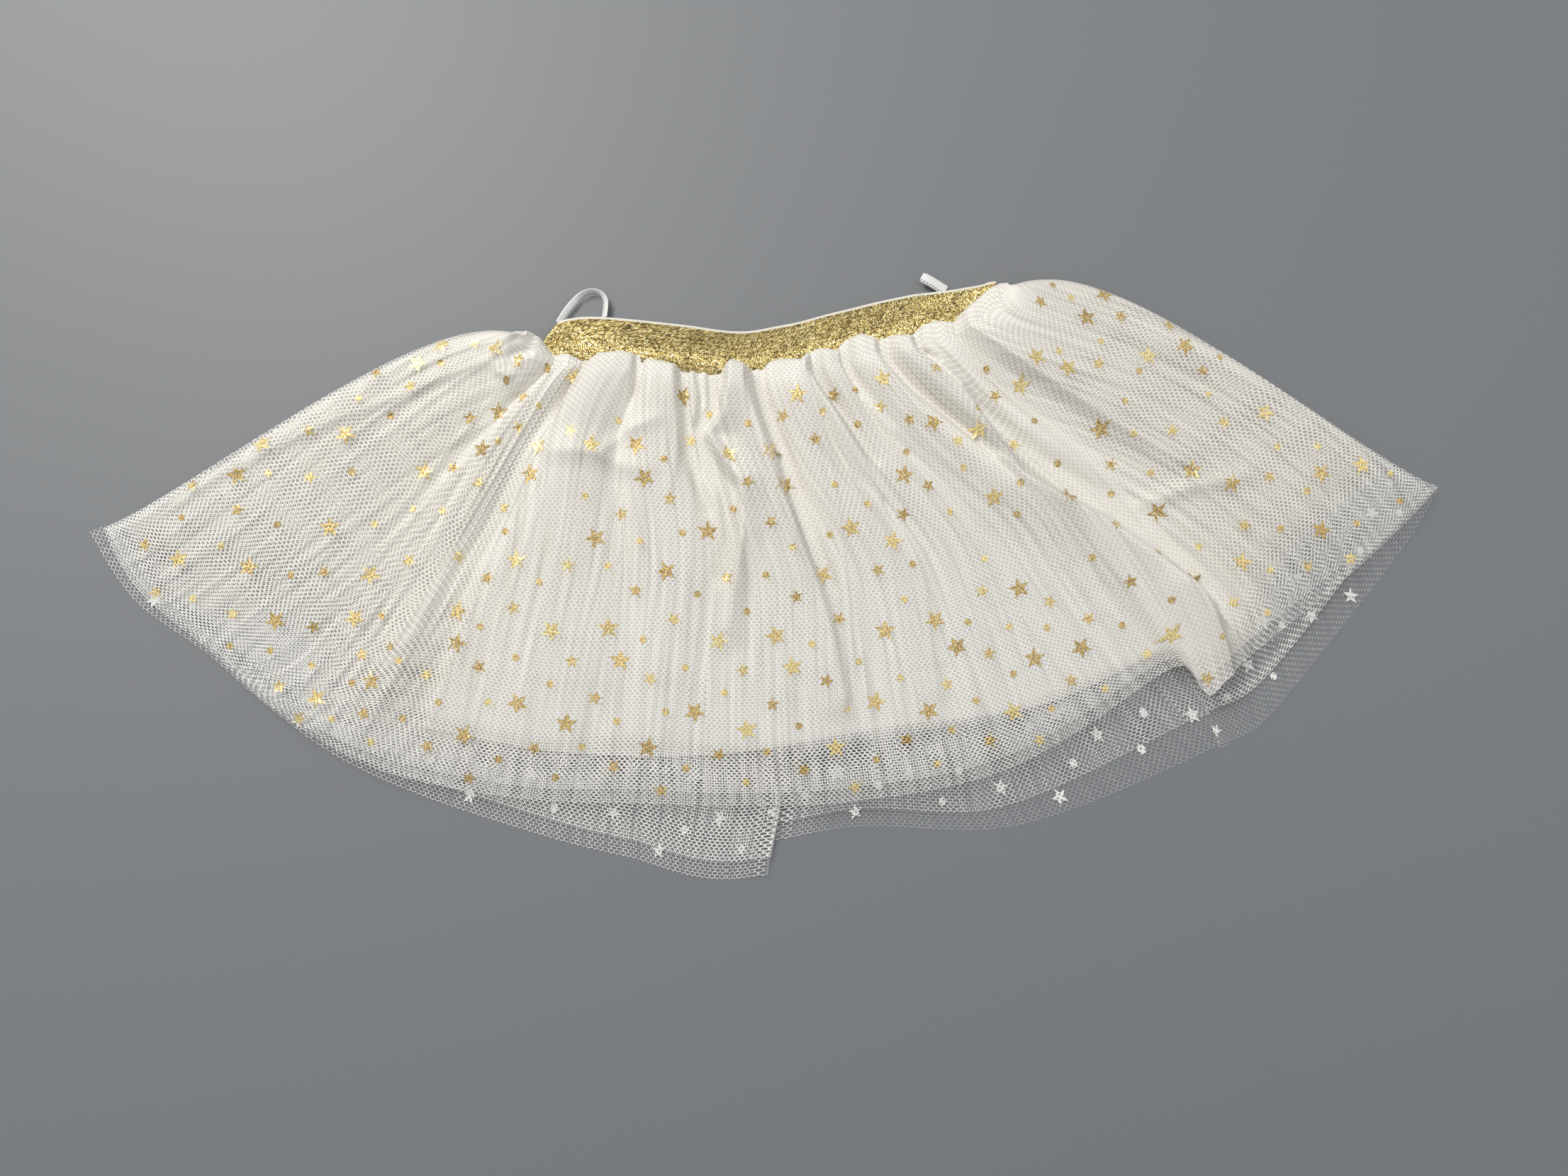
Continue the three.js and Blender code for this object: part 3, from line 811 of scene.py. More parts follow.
def make_net(name, near_waist_shaded, open_cloth, thread, bunch, haze, film):
    """Net of a darker cream at the gathers, partly its warmer tone and partly painted shade, and
    another colour where it lies open.
    """
    material, tree, shader = start_material(name)
    flat, x, y = cloth_place(tree)
    gather = painted(tree, "gather")
    walls = net_walls(x, y)
    drawn_out = node(tree, "ShaderNodeMapping", None, {"Vector": flat, "Scale": STREAK_SHAPE})
    streak = noise(tree, Wire(drawn_out.outputs["Vector"]), 0.33, 3.0, Roughness=0.65)
    half_thread = (gather * bunch + thread) * ((streak - 0.5) * 2.6 + 1)
    mask = walls > (0.5 - half_thread)
    veil = (gather * haze + painted(tree, "lined") * film) * (streak * 1.7 + 0.15)
    veil = veil.math("MINIMUM", VEIL_MOST).math("MAXIMUM", 0.0)
    cloud = noise(tree, flat, 0.03, 3.0)
    # Towards the darker cream where the net is gathered: partly its warmer tone there, partly painted
    # shade in the depths of the gathers.
    share = (gather * 1.5 + cloud * 0.7 - 0.2).math("MAXIMUM", 0.0).math("MINIMUM", 1.0)
    fill(shader, {
        "Alpha": mask.math("MAXIMUM", veil),
        "Base Color": blend(tree, share, open_cloth, near_waist_shaded),
        "Roughness": noise(tree, flat, 1.4, 1.0) * 0.3 + 0.4,
        "Sheen Weight": 0.25, "Sheen Roughness": 0.4, "Specular IOR Level": 0.4,
    })
    return material


NETS = [
    # name, colour near the waist, colour where it is open, thread, bunch, haze, film;
    # the colour near the waist is darker: the net's warmer tone and painted shade of the gathers
    ("printed_net", (0.855, 0.825, 0.76), (0.91, 0.90, 0.86), 0.076, 0.018, 0.26, 0.32),
    ("plain_net", (0.90, 0.87, 0.80), (0.93, 0.915, 0.87), 0.076, 0.050, 0.42, 0.36),
    ("back_net", (0.92, 0.89, 0.83), (0.93, 0.925, 0.90), 0.046, 0.050, 0.25, 0.0),
]
PRINTED_NET, PLAIN_NET, BACK_NET = [make_net(*row) for row in NETS]
print("net cell:", CELL["across"], "by", CELL["row"], "mm")

# %% [markdown]
# The lining is an opaque knit. Its wales are fine ridges down the skirt, which a bump
# shows well enough, and it is what makes the middle of the skirt white.

# %% Lining knit
def make_lining():
    material, tree, shader = start_material("lining_knit")
    flat, x, y = cloth_place(tree)
    cloud = noise(tree, flat, 0.02, 2.0)
    knit = waves(x, 0.8) * 0.5 + waves(y, 0.6) * 0.3
    fill(shader, {
        "Base Color": blend(tree, cloud, (0.765, 0.75, 0.705), (0.71, 0.70, 0.67)),
        "Normal": bumps(tree, knit, 0.25, 0.1),
        "Roughness": cloud * 0.15 + 0.78,
    })
    return material


LINING_KNIT = make_lining()
print("lining ready")

# %% [markdown]
# The back layers lie flat on the table. The back is a little longer than the front all
# round, and it is folded over once, left of the middle, which makes a step in its hem.
# The fold is modelled as a flat S: the left part runs over the right. Each layer's flat
# cloth is turned a little against the next, so that no two nets lie thread on thread, which
# would show as blurred patches.

# %% The two back layers of net
def step_lap(run):
    """How far the fold moves the cloth sideways, and how high the part on top lies."""
    t = (run - hem_run(STEP["at"])) / STEP["wide"]
    shift = -STEP["lap"] * t * np.exp(0.5 * (1 - t * t))
    top = 0.5 - 0.5 * np.tanh(t * 1.4)
    return shift, top * np.exp(-np.maximum(-t, 0) / 10)


def back_drop(u):
    """How far the printed back shows below the front hem."""
    near = np.clip(1 - np.abs(u - STEP["at"]) / STEP["reach"], 0, 1)
    return across(FAN["drop"], u) + STEP["fall"] * near * np.where(u < STEP["at"], 0.5, -0.5)


def back_cloth(u, v, extra, place=0):
    """A point of a back layer, with the fold that crosses it and its fine pleats."""
    x, y = cloth_point(u, v, extra)
    shift, top = step_lap(hem_run(u))
    low_down = ramp(v, 0.35, 0.6)
    z = place * LAYER + HALF_WALL - 0.3 + pleat_height(hem_run(u), v, BACK_PLEATS)
    return x + shift * low_down, y, z + STEP["lift"] * top * low_down


def back_layer(name, place, shorter, inset, material, rolled, columns=460, rows=84):
    u = grain_columns(columns, inset, LAST - inset)[:, None]
    s = np.linspace(0, 1, rows)[None, :]
    drop = np.maximum(back_drop(u) - shorter * (1 + ramp(u, 8.5, 1.5)), 0.0)
    length = grain_length(u)
    run = 1.0 + s * (length + drop - 1.0)
    v = np.minimum(run / length, 1.0)
    extra = np.maximum(run - length, 0.0)
    u, v = np.broadcast_arrays(u, v)
    points = np.stack(back_cloth(u, v, extra, place), axis=-1).reshape(-1, 3)
    above_hem = length + drop - run
    weight = gathered(u, v) + rolled * bell(above_hem, 3, 3.0) * smooth(u - 10.4)
    weight = weight - 0.6 * ramp(u, 7.4, 0.5) * ramp(v, 0.8, 0.2)
    flat = flat_loops(u, v, above_hem, 0.3 + 0.2 * place)
    flat[..., 0] += (0.05 - 0.1 * place) * flat[..., 1]
    return make_piece(name, points, grid_quads(columns, rows), flat, [material],
                      {"gather": weight})


back_printed = back_layer("back_net_printed", 0, 0.0, 0.0, BACK_NET, 0.0)
back_plain = back_layer("back_net_plain", 1, 8.0, 0.1, PLAIN_NET, 0.9)

# %% [markdown]
# The lining is a plain A-line underskirt, shorter and narrower than the net. Its hem is
# turned up once, which shows through the net as a paler line.

# %% The two halves of the lining
LINING_COLUMNS = ("waist_x", "waist_y", "hem_x", "hem_y", "drop")
LINING_ROWS = [
    (-101, 100, -151, -54, 9),
    (-60, 99, -90, -51, 23),
    (-13, 93, -22, -52, 23),
    (30, 101, 50, -50, 13),
    (67, 110, 125, -49, 3),
    (100, 117, 191, -16, 3),
]
LINING = dict(zip(LINING_COLUMNS, np.array(LINING_ROWS, float).T))
TURNED_HEM = 9.0
SEAM_RISE = 3.0


def lining_half(name, place, drop_share, columns=180, rows=90):
    k = (np.linspace(0, 1, columns) * (len(LINING_ROWS) - 1))[:, None]
    t = np.linspace(-0.018 * (place - 2), 1, rows)[None, :]
    seam_x, seam_y = across(LINING["waist_x"], k), across(LINING["waist_y"], k)
    hem_x, hem_y = across(LINING["hem_x"], k), across(LINING["hem_y"], k)
    length = np.hypot(hem_x - seam_x, hem_y - seam_y)
    drop = drop_share * across(LINING["drop"], k)
    share = t * (1 + drop / length)
    x, y = mix(seam_x, hem_x, share), mix(seam_y, hem_y, share)
    from_hem = (length + drop) * (1 - t)
    wave = 0.25 * np.sin(k * 5.1 + t * 2) * t + 0.2 * np.sin(k * 11.7 + 1) * t**2
    turned = 0.15 * smooth((TURNED_HEM - from_hem) / 0.8)
    sunk = 1.3 * (place - 2) * smooth((14 - from_hem) / 14)
    sunk = sunk - SEAM_RISE * (place - 2) * smooth((1.5 - t * length) / 3.5)
    z = place * LAYER + HALF_WALL - 0.1 + wave + turned - sunk
    points = np.stack([x, y, z], axis=-1).reshape(-1, 3)
    flat = np.stack([k * 70 + 0 * t, from_hem + 0 * k], axis=-1).reshape(-1, 2)
    return make_piece(name, points, grid_quads(columns, rows), flat, [LINING_KNIT])


back_lining = lining_half("lining_knit_back", 2, 1.0)
front_lining = lining_half("lining_knit_front", 3, 0.0)

# %% [markdown]
# The front carries the looks. Below the seam it follows the fan with all its creases.
# Above the seam the printed layer has seven more rows, which roll it over the elastic and
# back on itself, so that each puff ends round, as gathered net does, and not in a cut edge.

# %% The two front layers of net
BAND_TOP, PUFF_TOP = 7.0, 14.0
FRONT_PLACE, FRONT_FOLD = 5.65, 1.0
UNDER_SHEAR = 0.08
ROLL = [
    # share of the puff's reach over the elastic, height
    (-0.10, 6.6),
    (0.45, 8.2),
    (0.82, 8.7),
    (1.00, 9.7),
    (0.96, 10.9),
    (0.74, 12.4),
    (0.42, 13.6),
]


def puff_reach(u):
    """How far the puff edge lies above the waist seam."""
    x, y = cloth_point(u, 0.0)
    return np.maximum(np.interp(x, *PUFF_EDGE.T) - y, 0.3)


def front_points(u, v, place, pleats, fold_base):
    """Where the points of a front layer lie, below the seam."""
    near_hem = ramp(v, 0.86, 0.14)
    x, y = cloth_point(u, v, near_hem * np.interp(u, *HEM_NOTCH.T))
    return x, y, front_height(u, v, place, pleats, fold_base)


LINED = {"hem": 0.84, "lower_right": 0.08, "soft": 0.05}


def lined_share(u, v):
    """1 where the lining lies right behind the front, and 0 where it doesn't."""
    hem = LINED["hem"] + LINED["lower_right"] * ramp(u, 8.5, 2.0)
    return ramp(u, 3.9, 0.7) * ramp(u, 12.2, -0.8) * smooth((hem - v) / LINED["soft"] + 0.5)


def front_layer(name, place, pleats, fold_base, material, hem, inset, columns, rows, roll):
    u = grain_columns(columns, inset, LAST - 0.4 * inset)[:, None]
    s = np.linspace(0, 1, rows)[None, :]
    v = mix(0.004, hem, mix(s, s**1.5, 0.6))
    u, v = np.broadcast_arrays(u, v)
    x, y, z = front_points(u, v, place, pleats, fold_base)
    if roll:
        first = u[:, :1]
        seam_x, seam_y = cloth_point(first, 0.0)
        reach = puff_reach(first)
        rise = np.array([share for share, _ in ROLL])[None, :] * reach
        full = np.array([height for _, height in ROLL])[None, :]
        lift = (z[:, :1] - BAND_TOP) / (PUFF_TOP - BAND_TOP)
        over = BAND_TOP + (full - BAND_TOP) * lift
        over = fold_base + (over - fold_base) * side_round(first)
        x = np.concatenate([seam_x + 0 * rise, x], axis=1)
        y = np.concatenate([seam_y + rise, y], axis=1)
        z = np.concatenate([over, z], axis=1)
        u = np.concatenate([first + 0 * rise, u], axis=1)
        v = np.concatenate([-rise / grain_length(first), v], axis=1)
    points = np.stack([x, y, z], axis=-1).reshape(-1, 3)
    flat = flat_loops(u, v, (1 - v) * grain_length(u), 0.0 if roll else 0.37)
    flat[..., 0] += (0.0 if roll else UNDER_SHEAR) * flat[..., 1]
    return make_piece(name, points, grid_quads(*u.shape), flat, [material],
                      {"gather": gathered(u, v, 1.0), "lined": lined_share(u, v)})


front_plain = front_layer(
    "front_net_plain", 4, UNDER_PLEATS, 1.9, PLAIN_NET, 0.965, 0.2, 420, 90, False
)
front_printed = front_layer(
    "front_net_printed", FRONT_PLACE, FRONT_PLEATS, FRONT_FOLD, PRINTED_NET, 1.0, 0.1, 580, 120,
    True
)

# %% [markdown]
# The print is gold foil pressed on the net in a small repeat of stars and dots. It sits
# only on the threads, so the cells still show through it. One tile of the repeat is
# charted below. Each motif is a thin patch laid just above the net, because a
# patch keeps its own shape and shine where the cloth is squeezed into the gathers.

# %% The repeat of the print
TILE = {"wide": 86.0, "tall": 78.0, "rows": 4, "below": 6, "turn_up": 31, "turn_across": 17}
MOTIFS = [
    # kind, across, up, turn in degrees
    ("big_star", 9, 8, 10), ("dot", 27, 3, 0), ("small_star", 42, 13, 40), ("big_star", 66, 6, 62),
    ("dot", 80, 19, 0), ("small_star", 20, 24, 75), ("dot", 4, 34, 0), ("big_star", 35, 33, 28),
    ("dot", 53, 25, 0), ("small_star", 68, 33, 15), ("big_star", 81, 45, 50), ("dot", 19, 45, 0),
    ("small_star", 7, 56, 22), ("dot", 42, 50, 0), ("big_star", 56, 52, 80), ("small_star", 33, 64, 5),
    ("dot", 70, 62, 0), ("big_star", 17, 72, 36), ("dot", 50, 71, 0), ("small_star", 79, 72, 58),
]
MOTIF_RADIUS = {"big_star": 5.0, "small_star": 3.4, "dot": 1.65}
STAR_WAIST = 0.43


def motif_outline(kind, turn):
    """Rings of a motif from its middle out, in millimetres."""
    radius = MOTIF_RADIUS[kind]
    waist = 1.0 if kind == "dot" else STAR_WAIST
    edge = np.where(np.arange(10) % 2 == 0, radius, radius * waist)
    angles = np.linspace(0, 2 * np.pi, 10, endpoint=False) + math.radians(turn)
    ring = np.stack([np.cos(angles), np.sin(angles)], axis=1) * edge[:, None]
    return np.concatenate([[[0, 0]], ring * 0.5, ring])


MOTIF_FACES = np.array(
    [(0, 1 + i, 1 + (i + 1) % 10) for i in range(10)]
    + [(1 + i, 11 + i, 1 + (i + 1) % 10) for i in range(10)]
    + [(1 + (i + 1) % 10, 11 + i, 11 + (i + 1) % 10) for i in range(10)]
)
print("motifs in a tile:", len(MOTIFS))

# %% [markdown]
# Foil flashes or goes dark by the tilt of the threads below it, and here that is painted
# into its colour: a stored number gives each motif its own painted flash between pale
# yellow and bronze, fine noise breaks it into painted glints, and the colour darkens
# towards the middle of each net cell as painted shade in the holes.

# %% Foil
def make_foil(name, bright, middle, dark, metal, thread):
    material, tree, shader = start_material(name)
    flat, x, y = cloth_place(tree)
    grain = noise(tree, flat, 1.2, 2.0)
    walls = net_walls(x, y)
    # Painted light: the motif's stored flash, painted glints from the grain noise, and painted shade
    # darkening towards the middle of each net cell.
    foil_flash_and_shade = painted(tree, "tone") * 0.6 + (grain - 0.5) * 2.2 + (walls - 0.36) * 1.5 + 0.2
    fill(shader, {
        "Base Color": ramp_colour(tree, foil_flash_and_shade, [(0.0, dark), (0.5, middle), (1.0, bright)]),
        "Alpha": walls > (0.5 - thread),
        "Roughness": grain * 0.3 + 0.25,
        "Metallic": metal,
    })
    return material


GOLD_FOIL = make_foil("gold_foil", (1.0, 0.88, 0.42), (0.74, 0.52, 0.19), (0.30, 0.185, 0.05),
                      0.45, 0.30)
FOIL_REVERSE = make_foil("foil_reverse", (0.90, 0.90, 0.87), (0.84, 0.84, 0.81),
                         (0.76, 0.76, 0.74), 0.0, 0.32)
print("foil ready")

# %% [markdown]
# Motifs are kept by a seeded draw, fewer where the cloth is squeezed, and none overlaps
# another. The back layer lies with its print down, so its foil is made twice: pale foil backs
# on top of the net and gold below it. Each has draws of its own, so not every pale motif has
# a gold one under it.

# %% The foil on the printed layers
FOIL_SEED = 7
EDGES = {"hem": 4, "waist": 3, "side": 6, "gap": 1.2}
KEPT = {"always": 0.12, "by_spread": 0.9}
WIDEST_STEP = (0.5, 0.06)
foil_draw = np.random.default_rng(FOIL_SEED)


def scatter_motifs():
    """Middles of all motifs on the flat cloth, tile by tile."""
    for column in range(int(HEM_RUN[-1] / TILE["wide"]) + 1):
        for row in range(TILE["rows"]):
            turned = TILE["turn_up"] * row + TILE["turn_across"] * column
            for kind, right, up, turn in MOTIFS:
                above = row * TILE["tall"] + up - TILE["below"]
                yield kind, column * TILE["wide"] + right, above, turn + turned


def place_foil(name, surface, drop_at, lift, material, shift=0.0):
    """Patches for every motif that shows. surface gives x, y, z at (u, run above hem)."""
    points, faces, flats, flash_tones = [], [], [], []
    taken = np.zeros((0, 3))
    for kind, along, above, turn in scatter_motifs():
        # Each motif's painted flash, a brightness between bronze and pale yellow, comes from this
        # draw.
        keep, tone = foil_draw.random(), foil_draw.random()
        u = float(np.interp(along, HEM_RUN, FINE))
        length = float(grain_length(u)) + drop_at(u)
        off_side = min(along, HEM_RUN[-1] - along)
        if min(above - EDGES["hem"], length - above - EDGES["waist"], off_side - EDGES["side"]) <= 0:
            continue
        v = (length - above) / float(grain_length(u))
        du, dv = 0.02, 0.004
        here = np.array(fan_point(u, min(v, 1.0)))
        way_u = (np.array(fan_point(u + du, min(v, 1.0))) - here) / du
        way_v = (here - np.array(fan_point(u, min(v, 1.0) - dv))) / dv
        squeeze = np.hypot(*way_u) / ((hem_run(u + du) - hem_run(u)) / du)
        if keep > KEPT["always"] + KEPT["by_spread"] * squeeze:
            continue
        radius = MOTIF_RADIUS[kind]
        gaps = np.hypot(*(taken[:, :2] - here).T) - taken[:, 2] - radius
        if len(taken) and gaps.min() < EDGES["gap"]:
            continue
        taken = np.vstack([taken, [*here, radius]])
        shape = motif_outline(kind, turn)
        shape[:, 0] *= 0.75 + 0.25 * min(1.0, squeeze + 0.25)
        steps = np.linalg.solve(np.stack([way_u, way_v], axis=1), shape.T)
        if (np.abs(steps).max(axis=1) > WIDEST_STEP).any():
            continue
        at_u, at_v = u + steps[0], v + steps[1]
        x, y, z = surface(at_u, at_v)
        faces.append(MOTIF_FACES + sum(len(p) for p in points))
        points.append(np.stack([x, y, z + lift], axis=1))
        number = np.full(len(x), flute_of(np.array(u), v, shift))
        flats.append(flat_cloth(at_u, at_v, number, length - at_v * grain_length(at_u), shift))
        flash_tones.append(np.full(len(x), tone))
    return make_piece(name, np.concatenate(points), np.concatenate(faces),
                      np.concatenate(flats), [material], {"tone": np.concatenate(flash_tones)})


def front_surface(u, v):
    u, v = np.clip(u, 0, LAST), np.clip(v, 0.0, 1.0)
    return front_points(u, v, FRONT_PLACE, FRONT_PLEATS, FRONT_FOLD)


def back_surface(u, v):
    u = np.clip(u, 0, LAST)
    return back_cloth(u, np.minimum(v, 1.0), np.maximum(v - 1.0, 0) * grain_length(u))


foil_front = place_foil("foil_front", front_surface, lambda u: 0.0, 0.14, GOLD_FOIL)
foil_back_reverse = place_foil(
    "foil_back_reverse", back_surface, lambda u: float(back_drop(u)), 0.12, FOIL_REVERSE, 0.3
)
foil_draw = np.random.default_rng(FOIL_SEED)
foil_back = place_foil("foil_back", back_surface, lambda u: float(back_drop(u)), -0.1, GOLD_FOIL,
                       0.3)

# %% [markdown]
# The waistband is a wide elastic knitted with metal yarn: narrow ribs that glitter grain
# by grain, and a plain ivory selvedge on its top edge. Its halves are thin closed bands.
# Their glitter is painted into the colour as small cells of gold, the dark ones painted
# shade and the bright ones painted glints.

# %% Gold elastic
BAND = {"first": 1.5, "last": 12.9, "high": 25.0, "air": 0.4, "lift": 3.4, "wall": 1.8,
        "clear": 0.4, "straight_first": 3.0, "straight_last": 11.8, "selvedge": 1.5,
        "line_wide": 13, "back_offset": 60}


RIB_PITCH = 0.68
# The colours of the glitter: near black as painted shade up to pale yellow as painted glints.
GOLD_GLINT_STOPS = [(0.0, (0.09, 0.06, 0.02)), (0.4, (0.40, 0.285, 0.09)),
              (0.75, (0.73, 0.57, 0.20)), (1.0, (1.0, 0.95, 0.60))]


def make_gold():
    material, tree, shader = start_material("gold_elastic")
    flat, x, y = cloth_place(tree)
    cells = node(tree, "ShaderNodeTexVoronoi", {"voronoi_dimensions": "2D"},
                 {"Vector": flat, "Scale": 2.0})
    flash = node(tree, "ShaderNodeSeparateColor", None,
                 {"Color": Wire(cells.outputs["Color"])})
    glint = Wire(flash.outputs["Red"])
    ribs = waves(x, RIB_PITCH)
    worn = noise(tree, flat, 0.12, 2.0)
    # Painted glints and painted shade: each glitter cell gets its own brightness in the base colour.
    tone = glint * 1.15 + ribs * 0.1 + waves(y, 2.1) * 0.08 + worn * 0.25 - 0.28
    fill(shader, {
        "Base Color": ramp_colour(tree, tone, GOLD_GLINT_STOPS),
        "Roughness": Wire(flash.outputs["Green"]) * 0.35 + 0.2,
        "Normal": bumps(tree, glint + ribs * 0.4, 0.6, 0.25),
        "Metallic": 0.6,
    })
    return material


def make_selvedge():
    material, tree, shader = start_material("ivory_selvedge")
    _, x, _ = cloth_place(tree)
    ribs = waves(x, RIB_PITCH)
    fill(shader, {
        "Base Color": blend(tree, ribs * 0.5 + 0.5, (0.70, 0.66, 0.56), (0.88, 0.86, 0.79)),
        "Normal": bumps(tree, ribs, 0.4, 0.2),
        "Roughness": 0.7,
    })
    return material


GOLD_ELASTIC, IVORY_SELVEDGE = make_gold(), make_selvedge()


def band_point(u, rise):
    """A point of the band, rise millimetres above the seam, and the way along it."""
    level = np.clip(u, BAND["straight_first"], BAND["straight_last"])
    ahead_x, ahead_y = fan_point(level + 0.5, 0.0)
    back_x, back_y = fan_point(level - 0.5, 0.0)
    size = np.hypot(ahead_x - back_x, ahead_y - back_y)
    way_x, way_y = (ahead_x - back_x) / size, (ahead_y - back_y) / size
    x, y = fan_point(np.minimum(u, BAND["last"]), 0.0)
    beyond = np.maximum(u - BAND["last"], 0) * BAND["line_wide"]
    x, y = x + way_x * beyond, y + way_y * beyond
    return x - way_y * rise, y + way_x * rise, way_x, way_y


def band_half(name, side, columns=330, rows=22):
    """A closed band: up its face, over the selvedge and down its back."""
    even = np.linspace(0, 1, columns)[:, None]
    rise = np.linspace(BAND["air"], BAND["high"], rows)
    end_share = np.concatenate([rise, rise[::-1]])[None, :] / BAND["high"]
    first = BAND["first"] + 0.5 + 2.5 * np.abs(end_share - 0.42) ** 1.6
    last = BAND["last"] + 0.3 * end_share
    u_line = mix(BAND["first"], BAND["last"], even)
    u = mix(first, last, even)
    x0, y0 = fan_point(u_line, 0.0)
    run = line_run(x0[:, 0], y0[:, 0])
    ring_rise = np.concatenate([rise, rise[::-1]])[None, :]
    upper = np.concatenate([np.ones(rows), np.zeros(rows)])[None, :]
    share = (ring_rise - BAND["air"]) / (BAND["high"] - BAND["air"])
    x, y, _, _ = band_point(u, ring_rise)
    bottom = BAND["lift"] * (1 - smooth(share)) + side * (BAND["wall"] + BAND["clear"])
    edge = np.sqrt(np.clip(1 - (2 * share - 1) ** 8, 0.0, 1))
    from_end = np.minimum(run, run[-1] - run)[:, None]
    ends = 0.3 + 0.7 * np.sqrt(1 - (1 - np.clip(from_end / 2.5, 0, 1)) ** 2)
    wave = 0.35 * np.sin(run[:, None] * 0.55) * (1 - share) + 0.2 * np.sin(run[:, None] * 0.23)
    wall = BAND["wall"] * (0.25 + 0.75 * edge) * ends
    z = bottom + BAND["wall"] / 2 + (upper - 0.5) * wall + (wave if side else 0.0)
    points = np.stack([x, y, z], axis=-1).reshape(-1, 3)
    flat_up = ring_rise + BAND["back_offset"] * (1 - upper) + 0 * u
    flat = np.stack([run[:, None] + 0 * ring_rise, flat_up], axis=-1)
    quads, cap_count = closed_strip_quads(columns, 2 * rows)
    high = ring_rise[0] > BAND["high"] - BAND["selvedge"]
    material = np.concatenate([np.tile(high, columns - 1), np.zeros(cap_count, bool)])
    return make_piece(name, points, quads, flat.reshape(-1, 2), [GOLD_ELASTIC, IVORY_SELVEDGE],
                      None, material)


band_back = band_half("elastic_back", 0)
band_front = band_half("elastic_front", 1)

# %% [markdown]
# Two narrow satin ribbons hang the skirt up. The left one stands out of the waist as an
# open loop that twists a little. The right one is folded flat into a short end. Each is a
# thin closed strip, with the fine ribs of its weave as bump. Black stitches run along one
# edge, as dots in its colour.

# %% Satin ribbons
def make_satin():
    material, tree, shader = start_material("satin")
    _, x, y = cloth_place(tree)
    weave = waves(y, 0.45) + waves(x, 0.5)
    white = blend(tree, weave * 0.2 + 0.5, (0.74, 0.73, 0.71), (0.90, 0.895, 0.88))
    stitches = (waves(x, 1.5) > 0.2) * (y < 0.9) * (y > 0.35)
    fill(shader, {
        "Base Color": blend(tree, stitches * 0.75, white, (0.10, 0.11, 0.13)),
        "Normal": bumps(tree, weave, 0.3, 0.1),
        "Roughness": 0.32, "Sheen Weight": 0.2,
    })
    return material


SATIN = make_satin()
RIBBON_WIDE, RIBBON_THICK = 3.6, 0.4


def ribbon(name, low_edge, high_edge, thick=RIBBON_THICK, across_count=5):
    """A closed strip between two edges, given point by point along it."""
    low, high = np.array(low_edge, float), np.array(high_edge, float)
    way = np.gradient((low + high) / 2, axis=0)
    off = np.cross(way, high - low)
    off /= np.linalg.norm(off, axis=1)[:, None]
    steps_long = np.linalg.norm(np.diff((low + high) / 2, axis=0), axis=1)
    run = np.concatenate([[0], np.cumsum(steps_long)])
    share = np.linspace(0, 1, across_count)
    rings, flats = [], []
    for hand, order in ((0.5, share), (-0.5, share[::-1])):
        for s in order:
            slim = 0.35 + 0.65 * math.sqrt(max(0.0, 1 - (2 * s - 1) ** 6))
            rings.append(mix(low, high, s) + off * thick * hand * slim)
            flats.append(np.stack([run, np.full(len(run), s * RIBBON_WIDE)], axis=1))
    points = np.stack(rings, axis=1)
    lines, count = points.shape[:2]
    quads, cap_count = closed_strip_quads(lines, count)
    quads[:-cap_count] = quads[:-cap_count][:, [0, 3, 2, 1]]
    quads[-cap_count:] = quads[-cap_count:, ::-1]
    return make_piece(name, points.reshape(-1, 3), quads,
                      np.stack(flats, axis=1).reshape(-1, 2), [SATIN])


LOOP_LINE = 3.4
LOOP_ROUTE = np.array([
    (-4.2, -1.2), (0.2, 4.0), (4.6, 8.0), (8.6, 10.8), (13.0, 11.8), (17.0, 9.9), (18.7, 5.6),
    (17.0, -1.6),
])
LOOP_TILT = [0.9, 1.0, 0.95, 0.6, 0.35, 0.5, 0.8, 0.9]


def off_band(u, over, out):
    """Over millimetres along the band's top edge from grain line u, and out from it."""
    x, y, way_x, way_y = band_point(u, BAND["high"])
    return x + way_x * over - way_y * out, y + way_y * over + way_x * out


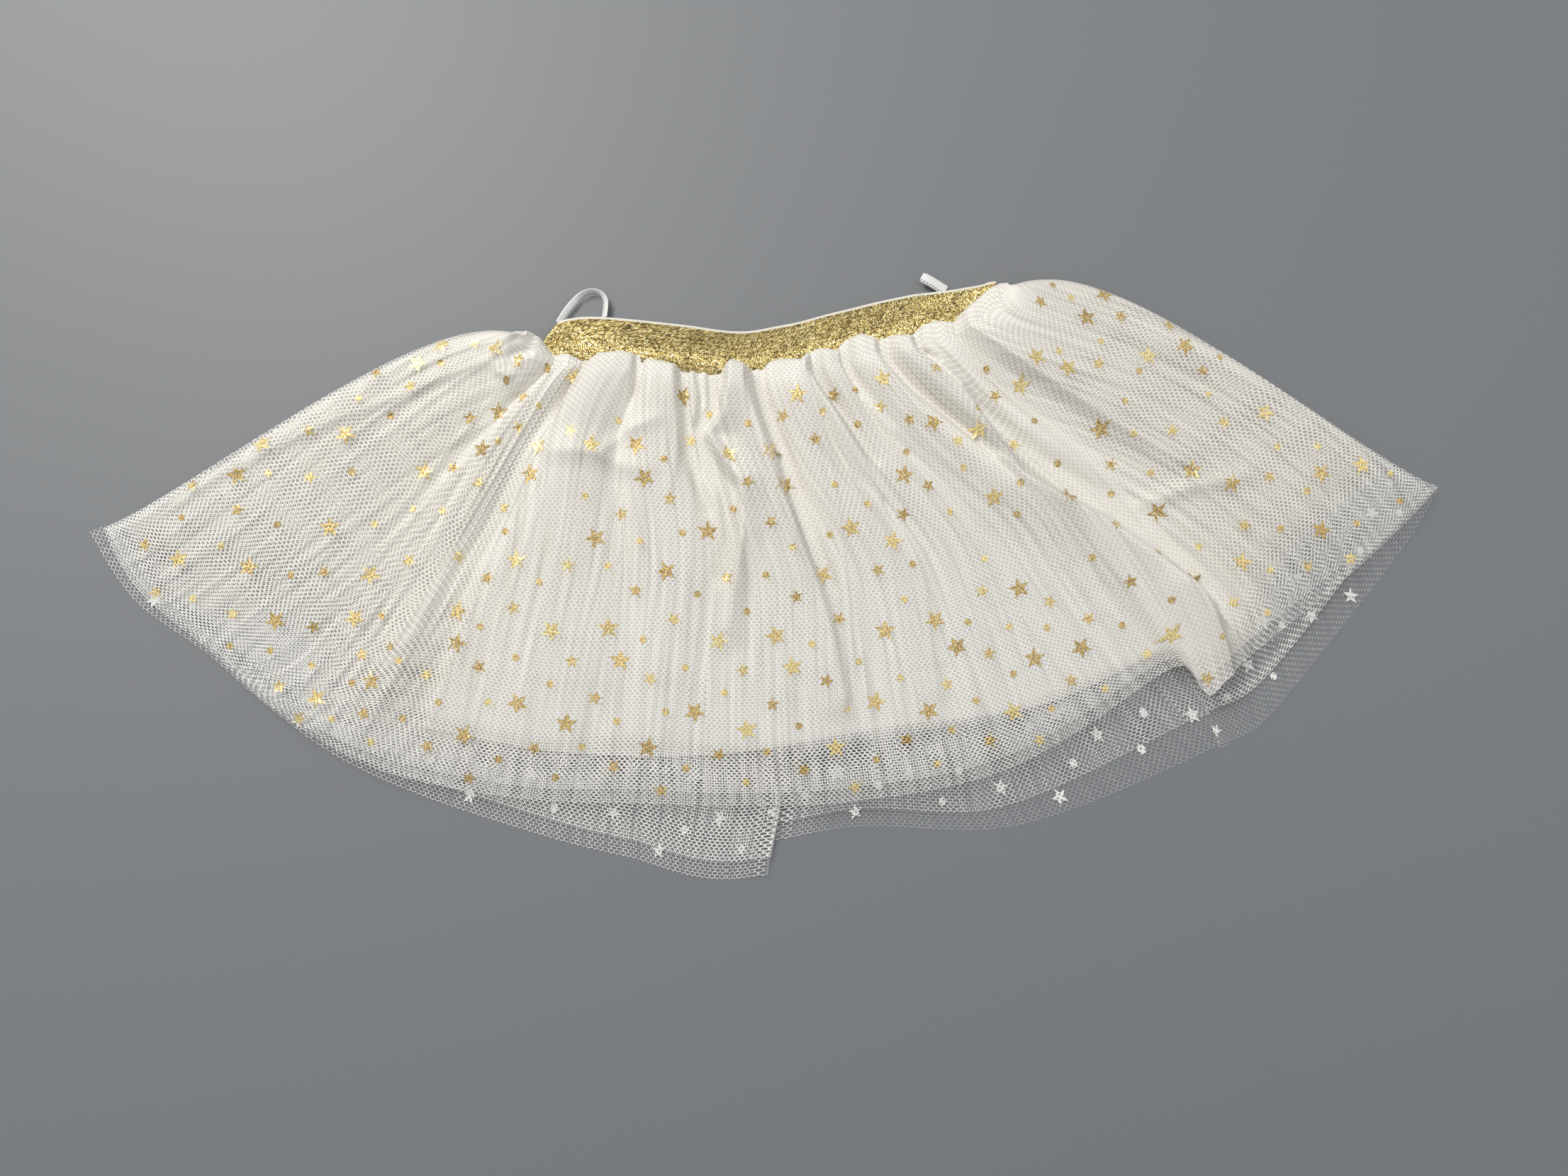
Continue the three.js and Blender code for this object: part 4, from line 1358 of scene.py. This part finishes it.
steps = np.linspace(0, len(LOOP_ROUTE) - 1, 70)
loop_over, loop_out = across(LOOP_ROUTE[:, 0], steps), across(LOOP_ROUTE[:, 1], steps)
loop_tilt = across(np.array(LOOP_TILT), steps)
loop_x, loop_y = off_band(LOOP_LINE, loop_over, loop_out)
way_x, way_y = np.gradient(loop_x), np.gradient(loop_y)
size = np.hypot(way_x, way_y)
half_wide = RIBBON_WIDE / 2
reach_x, reach_y = -way_y / size * half_wide, way_x / size * half_wide
lean, stand = np.sin(loop_tilt), np.cos(loop_tilt) * half_wide
middle_z = 2.6
low_edge = np.stack([loop_x - reach_x * lean, loop_y - reach_y * lean, middle_z - stand], axis=1)
high_edge = np.stack([loop_x + reach_x * lean, loop_y + reach_y * lean, middle_z + stand], axis=1)
loop_left = ribbon("ribbon_loop_left", low_edge, high_edge)

TAB = {"line": 11.45, "root": 0.4, "long": 7.6, "lean": -10.5, "half": 2.4, "rise": 1.4}
w = np.linspace(0, 1, 30)
half_now = TAB["half"] * np.sqrt(1 - 0.3 * smooth((w - 0.9) / 0.1))
edges = []
for hand in (-1, 1):
    size = math.hypot(TAB["lean"], TAB["long"])
    off = half_now * hand / size
    x, y = off_band(TAB["line"], TAB["lean"] * w + off * TAB["long"],
                    TAB["root"] + TAB["long"] * w - off * TAB["lean"])
    edges.append(np.stack([x, y, 1.8 + TAB["rise"] * smooth(w) + 0.5 * np.sin(w * 3)], axis=1))
loop_right = ribbon("ribbon_end_right", edges[0], edges[1], thick=1.1)

# %% [markdown]
# Last, each piece is tied to the collision model: it rides on the root body, and the wall
# that it stands for is hidden. The foil patches ride on it too. The table also lists the
# material slot of each finish.

# %% Ties to the frame
PIECES = [
    (back_printed, "tulle_back_printed", "printed_tulle"),
    (back_plain, "tulle_back_plain", "plain_tulle"),
    (back_lining, "lining_back", "lining"),
    (front_lining, "lining_front", "lining"),
    (front_plain, "tulle_front_plain", "plain_tulle"),
    (front_printed, "tulle_front_printed", "printed_tulle"),
    (band_back, "waistband_back", "gold_elastic"),
    (band_front, "waistband_front", "gold_elastic"),
    (loop_left, "hanger_loop_left", "satin_ribbon"),
    (loop_right, "hanger_loop_right", "satin_ribbon"),
]
for piece, wall, slot in PIECES:
    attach(piece, "root")
    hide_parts(wall)
for foil in (foil_front, foil_back_reverse, foil_back):
    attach(foil, "root")

print("pieces tied:", len(PIECES) + 3)
